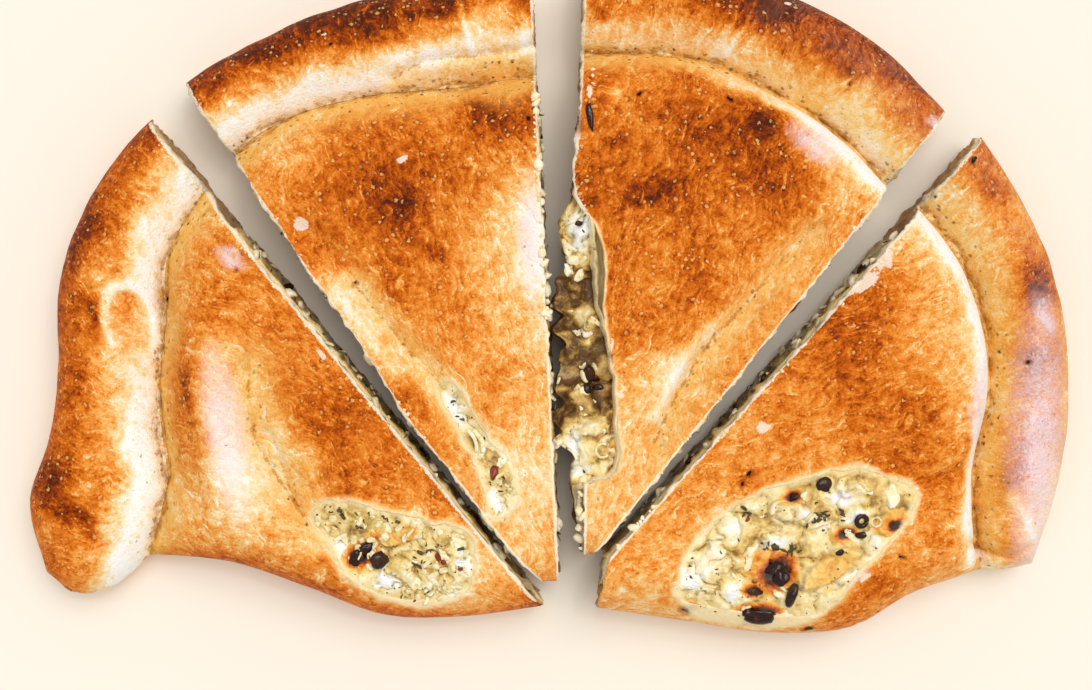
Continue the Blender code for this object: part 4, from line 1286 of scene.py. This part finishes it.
# Glossy black and dark red
burnt = Bits("burntBubbles", {
    "look": "burntCheese", "colours": [(0.3, (16, 5, 4)), (0.6, (52, 14, 6)), (0.85, (130, 44, 12))],
    "grain": 2.5, "rough": 0.25, "shader": {**glossy, "Coat Weight": 0.45, "Coat Roughness": 0.07},
    "seed": 6, "lump": (0.95, 0.35, 3), "lift": 0.2,
    "placed": [
        (one, -56.6, 22.8, (3.2, 2.4, 1.5), 30), (one, -54, 25.4, (2.2, 1.5, 1.2), 20),
        (one, -58.4, 21.6, (1.4, 1.2, 1.0), 0), (four, 56.8, 5.2, (2.9, 2.0, 1.1), 20),
        (four, 58.6, 2.6, (2.2, 2.4, 1.2), 20), (four, 55, 7.2, (1.5, 1.0, 0.6), 0),
        (four, 52.6, -10.6, (5.0, 2.4, 1.0), 3), (four, 49.6, -9.6, (2.2, 1.4, 0.8), 20),
        (four, 61, 27.9, (1.7, 1.1, 0.6), 30), (four, 78.4, 17.9, (1.9, 0.8, 0.6), 25),
        (three, 3.2, 60.5, (1.3, 1.8, 0.9), 0), (four, 112.3, 139.2, (0.8, 1.5, 0.5), -30),
        (three, 0.4, 143, (1.0, 4.6, 0.8), 8),
    ],
})
burnt.setDown()
burnt.make()

leeks = Bits("leekPieces", {
    "look": "softLeek",
    "colours": [(0.2, (190, 172, 92)), (0.45, (236, 218, 158)), (0.75, (255, 250, 234))],
    "grain": 2.2, "rough": 0.3, "shader": moist,
    "seed": 7, "strewn": [(one, 96, 2.1), (two, 8, 1.5), (three, 26, 1.7), (four, 12, 1.6)], "onFaces": 16,
    "arcs": [
        ((2.2, 0.9, 0, 260), (three, 5.5, 37.5, 60, 0.8, 0.1)),
        ((6.5, 1.7, -35, 40, 0.5), (two, -28.5, 47, 20, 0.1, 0.05)),
        ((7.5, 1.2, -30, 30, 0.5), (two, -31.5, 47, 20, 0.1, 0.05)),
        ((1.5, 0.7, 0, 350), (four, 87.6, 22.0, 0, 0.4, 0.1)),
    ],
})
random = leeks.random
for part, count, size in leeks.spec["strewn"]:
    for x, y in leeks.strewn(part, count, 1.6, 9, part.number):
        a, b, c = random.uniform(0.45, 1.0, 3) * size
        body = leeks.lump((a, b * 0.55, c * 0.3), 0.6, 0.3, 2)
        leeks.add(body, part, x, y, random.uniform(0, 180), random.uniform(-0.3, 0.2), 0.45)
leeks.setDown()
for place in leeks.onFaces():
    leeks.stick(leeks.lump((2.0, 1.2, 0.5), 0.5, 0.25, 2), *place)
leeks.make()

peppers = Bits("pepperPieces", {
    "look": "driedPepper", "colours": [(0.3, (84, 24, 8)), (0.7, (164, 66, 32))],
    "grain": 2, "rough": 0.35, "shader": moist,
    "seed": 12, "lump": (0.85, 0.25, 3), "lift": 0.5,
    "placed": [
        (two, -19, 39, (1.2, 2.5, 0.8), -10), (one, -31.6, 20.6, (0.9, 1.5, 0.6), 20),
        (one, -29.8, 18.6, (0.9, 0.8, 0.5), 0), (one, -24.6, 16, (0.7, 0.5, 0.4), 0),
        (four, 47, 20, (0.8, 0.5, 0.4), 40),
    ],
})
peppers.setDown()
peppers.make()

# Curds that stand clear of the melt, and those that fall out of the cuts: from u, between two
# shares v of the way to the rim, so many, as far out as this
curds = Bits("curds", {
    "look": "freshCurd",
    "colours": [(0.2, (240, 216, 146)), (0.5, (252, 238, 200)), (0.8, (255, 253, 244))],
    "grain": 3, "rough": 0.45, "shader": {"Specular IOR Level": 0.2, "Coat Weight": 0.25},
    "seed": 8, "strewn": [(one, 10, 1.8), (two, 6, 1.6), (three, 26, 2.2), (four, 20, 2.4)], "onFaces": 26,
    "fallen": [
        (two, 1, 0.42, 0.74, 24, 1.4), (three, 0, 0.2, 0.32, 10, 1.5), (three, 0, 0.02, 0.13, 14, 2.0),
        (four, 0, 0.02, 0.1, 8, 1.0),
    ],
    "arcs": [((4.0, 2.2, 30, 345), (three, -4.4, 33, 20, 1.6, 0.1))],
})
random = curds.random
for part, count, size in curds.spec["strewn"]:
    for x, y in curds.strewn(part, count, 1.2, 12, part.number + 9):
        a, b, c = random.uniform(0.5, 1.2, 3) * size
        body = curds.lump((a, b * 0.8, c * 0.45), 0.95, 0.6, 3)
        curds.add(body, part, x, y, random.uniform(0, 180), random.uniform(-0.9, -0.4), 0.15)
for part, u, low, high, count, far in curds.spec["fallen"]:
    for v in random.choice(np.linspace(low, high, 5), count) + random.normal(0, 0.01, count):
        size = random.uniform(0.4, 1.6) ** 1.2
        x, y = part.spotAt(abs(u - 0.012), v)
        out = part.facing(u) * random.uniform(0.2, far)
        body = curds.lump((size, size * random.uniform(0.5, 1), size * 0.7), 0.9, 0.5, 2)
        drop = random.uniform(-7, -1) if out @ out > 1 else 0
        move = (*turned(out, part.spec["turn"]), drop)
        curds.add(body, part, x, y, random.uniform(0, 180), 0, 0.5, move)
curds.setDown()
for place in curds.onFaces():
    size = random.uniform(0.8, 2.4)
    curds.stick(curds.lump((size, size * 0.8, size * 0.5), 0.9, 0.5, 2), *place)
curds.make()

# Dark shreds and flecks: strewn, tangled, and at places of their own
herbs = Bits("herbs", {
    "look": "darkHerbs", "colours": [(0.3, (40, 32, 16)), (0.7, (96, 80, 36))],
    "grain": 2, "rough": 0.5, "shader": {},
    "seed": 9, "strewn": [(one, 90), (two, 14), (three, 44), (four, 44)], "onFaces": 40,
    "tangles": [
        (54, 12.6), (57, 12), (60, 10.6), (62.5, 11.4), (68, 21.2), (69.5, 22.6), (71, 24), (76.5, 23.5),
        (45.7, 23.3), (50, -2),
    ],
    "shreds": [(-31, 62), (-30, 57), (-28.5, 56), (-17, 33), (-22, 50)],
    "flecks": [
        (-56, 32), (-61, 38), (-60, 36), (-43, 32.6), (-37.6, 17.7), (-34, 22.4), (-37, 22), (-39, 19),
        (-24, 22),
    ],
})
random = herbs.random
for part, count in herbs.spec["strewn"]:
    for x, y in herbs.strewn(part, count, 0.8, 7, part.number + 4):
        body = herbs.shred(random.uniform(0.4, 1.8) ** 1.2, random.uniform(0.25, 0.75))
        herbs.add(body, part, x, y, random.uniform(0, 180), 0.0, 0.2)
for x, y in herbs.spec["tangles"]:
    for _ in range(4):
        dx, dy = random.normal(0, 1.2, 2)
        body = herbs.shred(random.uniform(0.8, 3.4), random.uniform(0.5, 1.3))
        herbs.add(body, four, x + dx, y + dy, random.uniform(0, 180), 0.3, 0.2)
for x, y in herbs.spec["shreds"]:
    body = herbs.shred(random.uniform(1.2, 2.6), random.uniform(0.5, 0.9))
    herbs.add(body, two, x, y, random.uniform(0, 180), 0.3, 0.2)
for x, y in herbs.spec["flecks"]:
    body = herbs.lump((random.uniform(0.6, 1.3), 0.5, 0.5), 0.6, 0.3, 2)
    herbs.add(body, one, x, y, random.uniform(0, 180), 0.3, 0.2)
for place in herbs.onFaces():
    herbs.stick(herbs.shred(random.uniform(0.6, 3), random.uniform(0.4, 1.0)), *place, 0.7)
herbs.make()

# Crumbs and torn skin along the cut edges: the cut at u, between two shares v, so many
crumbs = Bits("crumbs", {
    "look": "paleCrumbs",
    "colours": [(0.25, (228, 190, 118)), (0.5, (246, 224, 170)), (0.8, (255, 246, 226))],
    "grain": 2.5, "rough": 0.7, "shader": {}, "seed": 10,
    "runs": [
        (one, 1, 0.1, 0.95, 34), (two, 1, 0.35, 0.8, 34), (two, 0, 0.1, 0.7, 14),
        (three, 0, 0.72, 0.97, 16), (three, 1, 0.1, 0.9, 12), (four, 0, 0.06, 0.85, 30),
    ],
})
random = crumbs.random
for part, u, low, high, count in crumbs.spec["runs"]:
    for v in random.uniform(low, high, count):
        x, y = part.spotAt(0.012 if u == 0 else 0.988, v)
        a, b, c = random.uniform(0.25, 0.9, 3)
        body = crumbs.lump((a, b, c * 0.6), 0.8, 0.5, 1)
        crumbs.add(body, part, x, y, random.uniform(0, 180), -0.1, 0.4)
crumbs.make()

studio = {
    "board": (0.90, 0.84, 0.738), "skyStrength": 0.66, "sky": (1.0, 0.99, 0.97),
    "keyStrength": 1.52, "keySpread": 42, "keyFrom": (0.24, 0.27, 0.9), "keyColour": (1.0, 0.985, 0.96),
    "glintStrength": 0.13, "glintSpread": 3,
    "aim": (0.3, -16.7), "frameWidth": 356.6, "sharpHeight": 15, "cameraAway": 600,
}


def makeStudio():
    floorMesh = bpy.data.meshes.new("floor")
    floorMesh.from_pydata([(-3, -3, 0), (3, -3, 0), (3, 3, 0), (-3, 3, 0)], [], [(0, 1, 2, 3)])
    floor = bpy.data.objects.new("floor", floorMesh)
    scene.collection.objects.link(floor)
    look = Look("paleFloor", {"Base Color": (*studio["board"], 1), "Roughness": 0.8})
    floorMesh.materials.append(look.material)
    floor.location.z = -0.0003

    world = bpy.data.worlds.new("studio")
    world.use_nodes = True
    world.node_tree.nodes["Background"].inputs["Color"].default_value = (*studio["sky"], 1)
    world.node_tree.nodes["Background"].inputs["Strength"].default_value = studio["skyStrength"]
    scene.world = world

    for name in ("key", "glint"):
        light = bpy.data.lights.new(name, "SUN")
        light.energy, light.color = studio[name + "Strength"], studio["keyColour"]
        light.angle = math.radians(studio[name + "Spread"])
        lamp = bpy.data.objects.new(name, light)
        lamp.location = studio["keyFrom"]
        lamp.rotation_euler = (-lamp.location).to_track_quat("-Z", "Y").to_euler()
        scene.collection.objects.link(lamp)

    camera = bpy.data.cameras.new("camera")
    away = studio["cameraAway"]
    camera.sensor_width = 36
    camera.lens = 36 * (away - studio["sharpHeight"]) / studio["frameWidth"]
    view = bpy.data.objects.new("camera", camera)
    view.location = (studio["aim"][0] * mm, studio["aim"][1] * mm, away * mm)
    scene.collection.objects.link(view)
    scene.camera = view
    scene.view_settings.view_transform = "Standard"


makeStudio()
print("studio made")
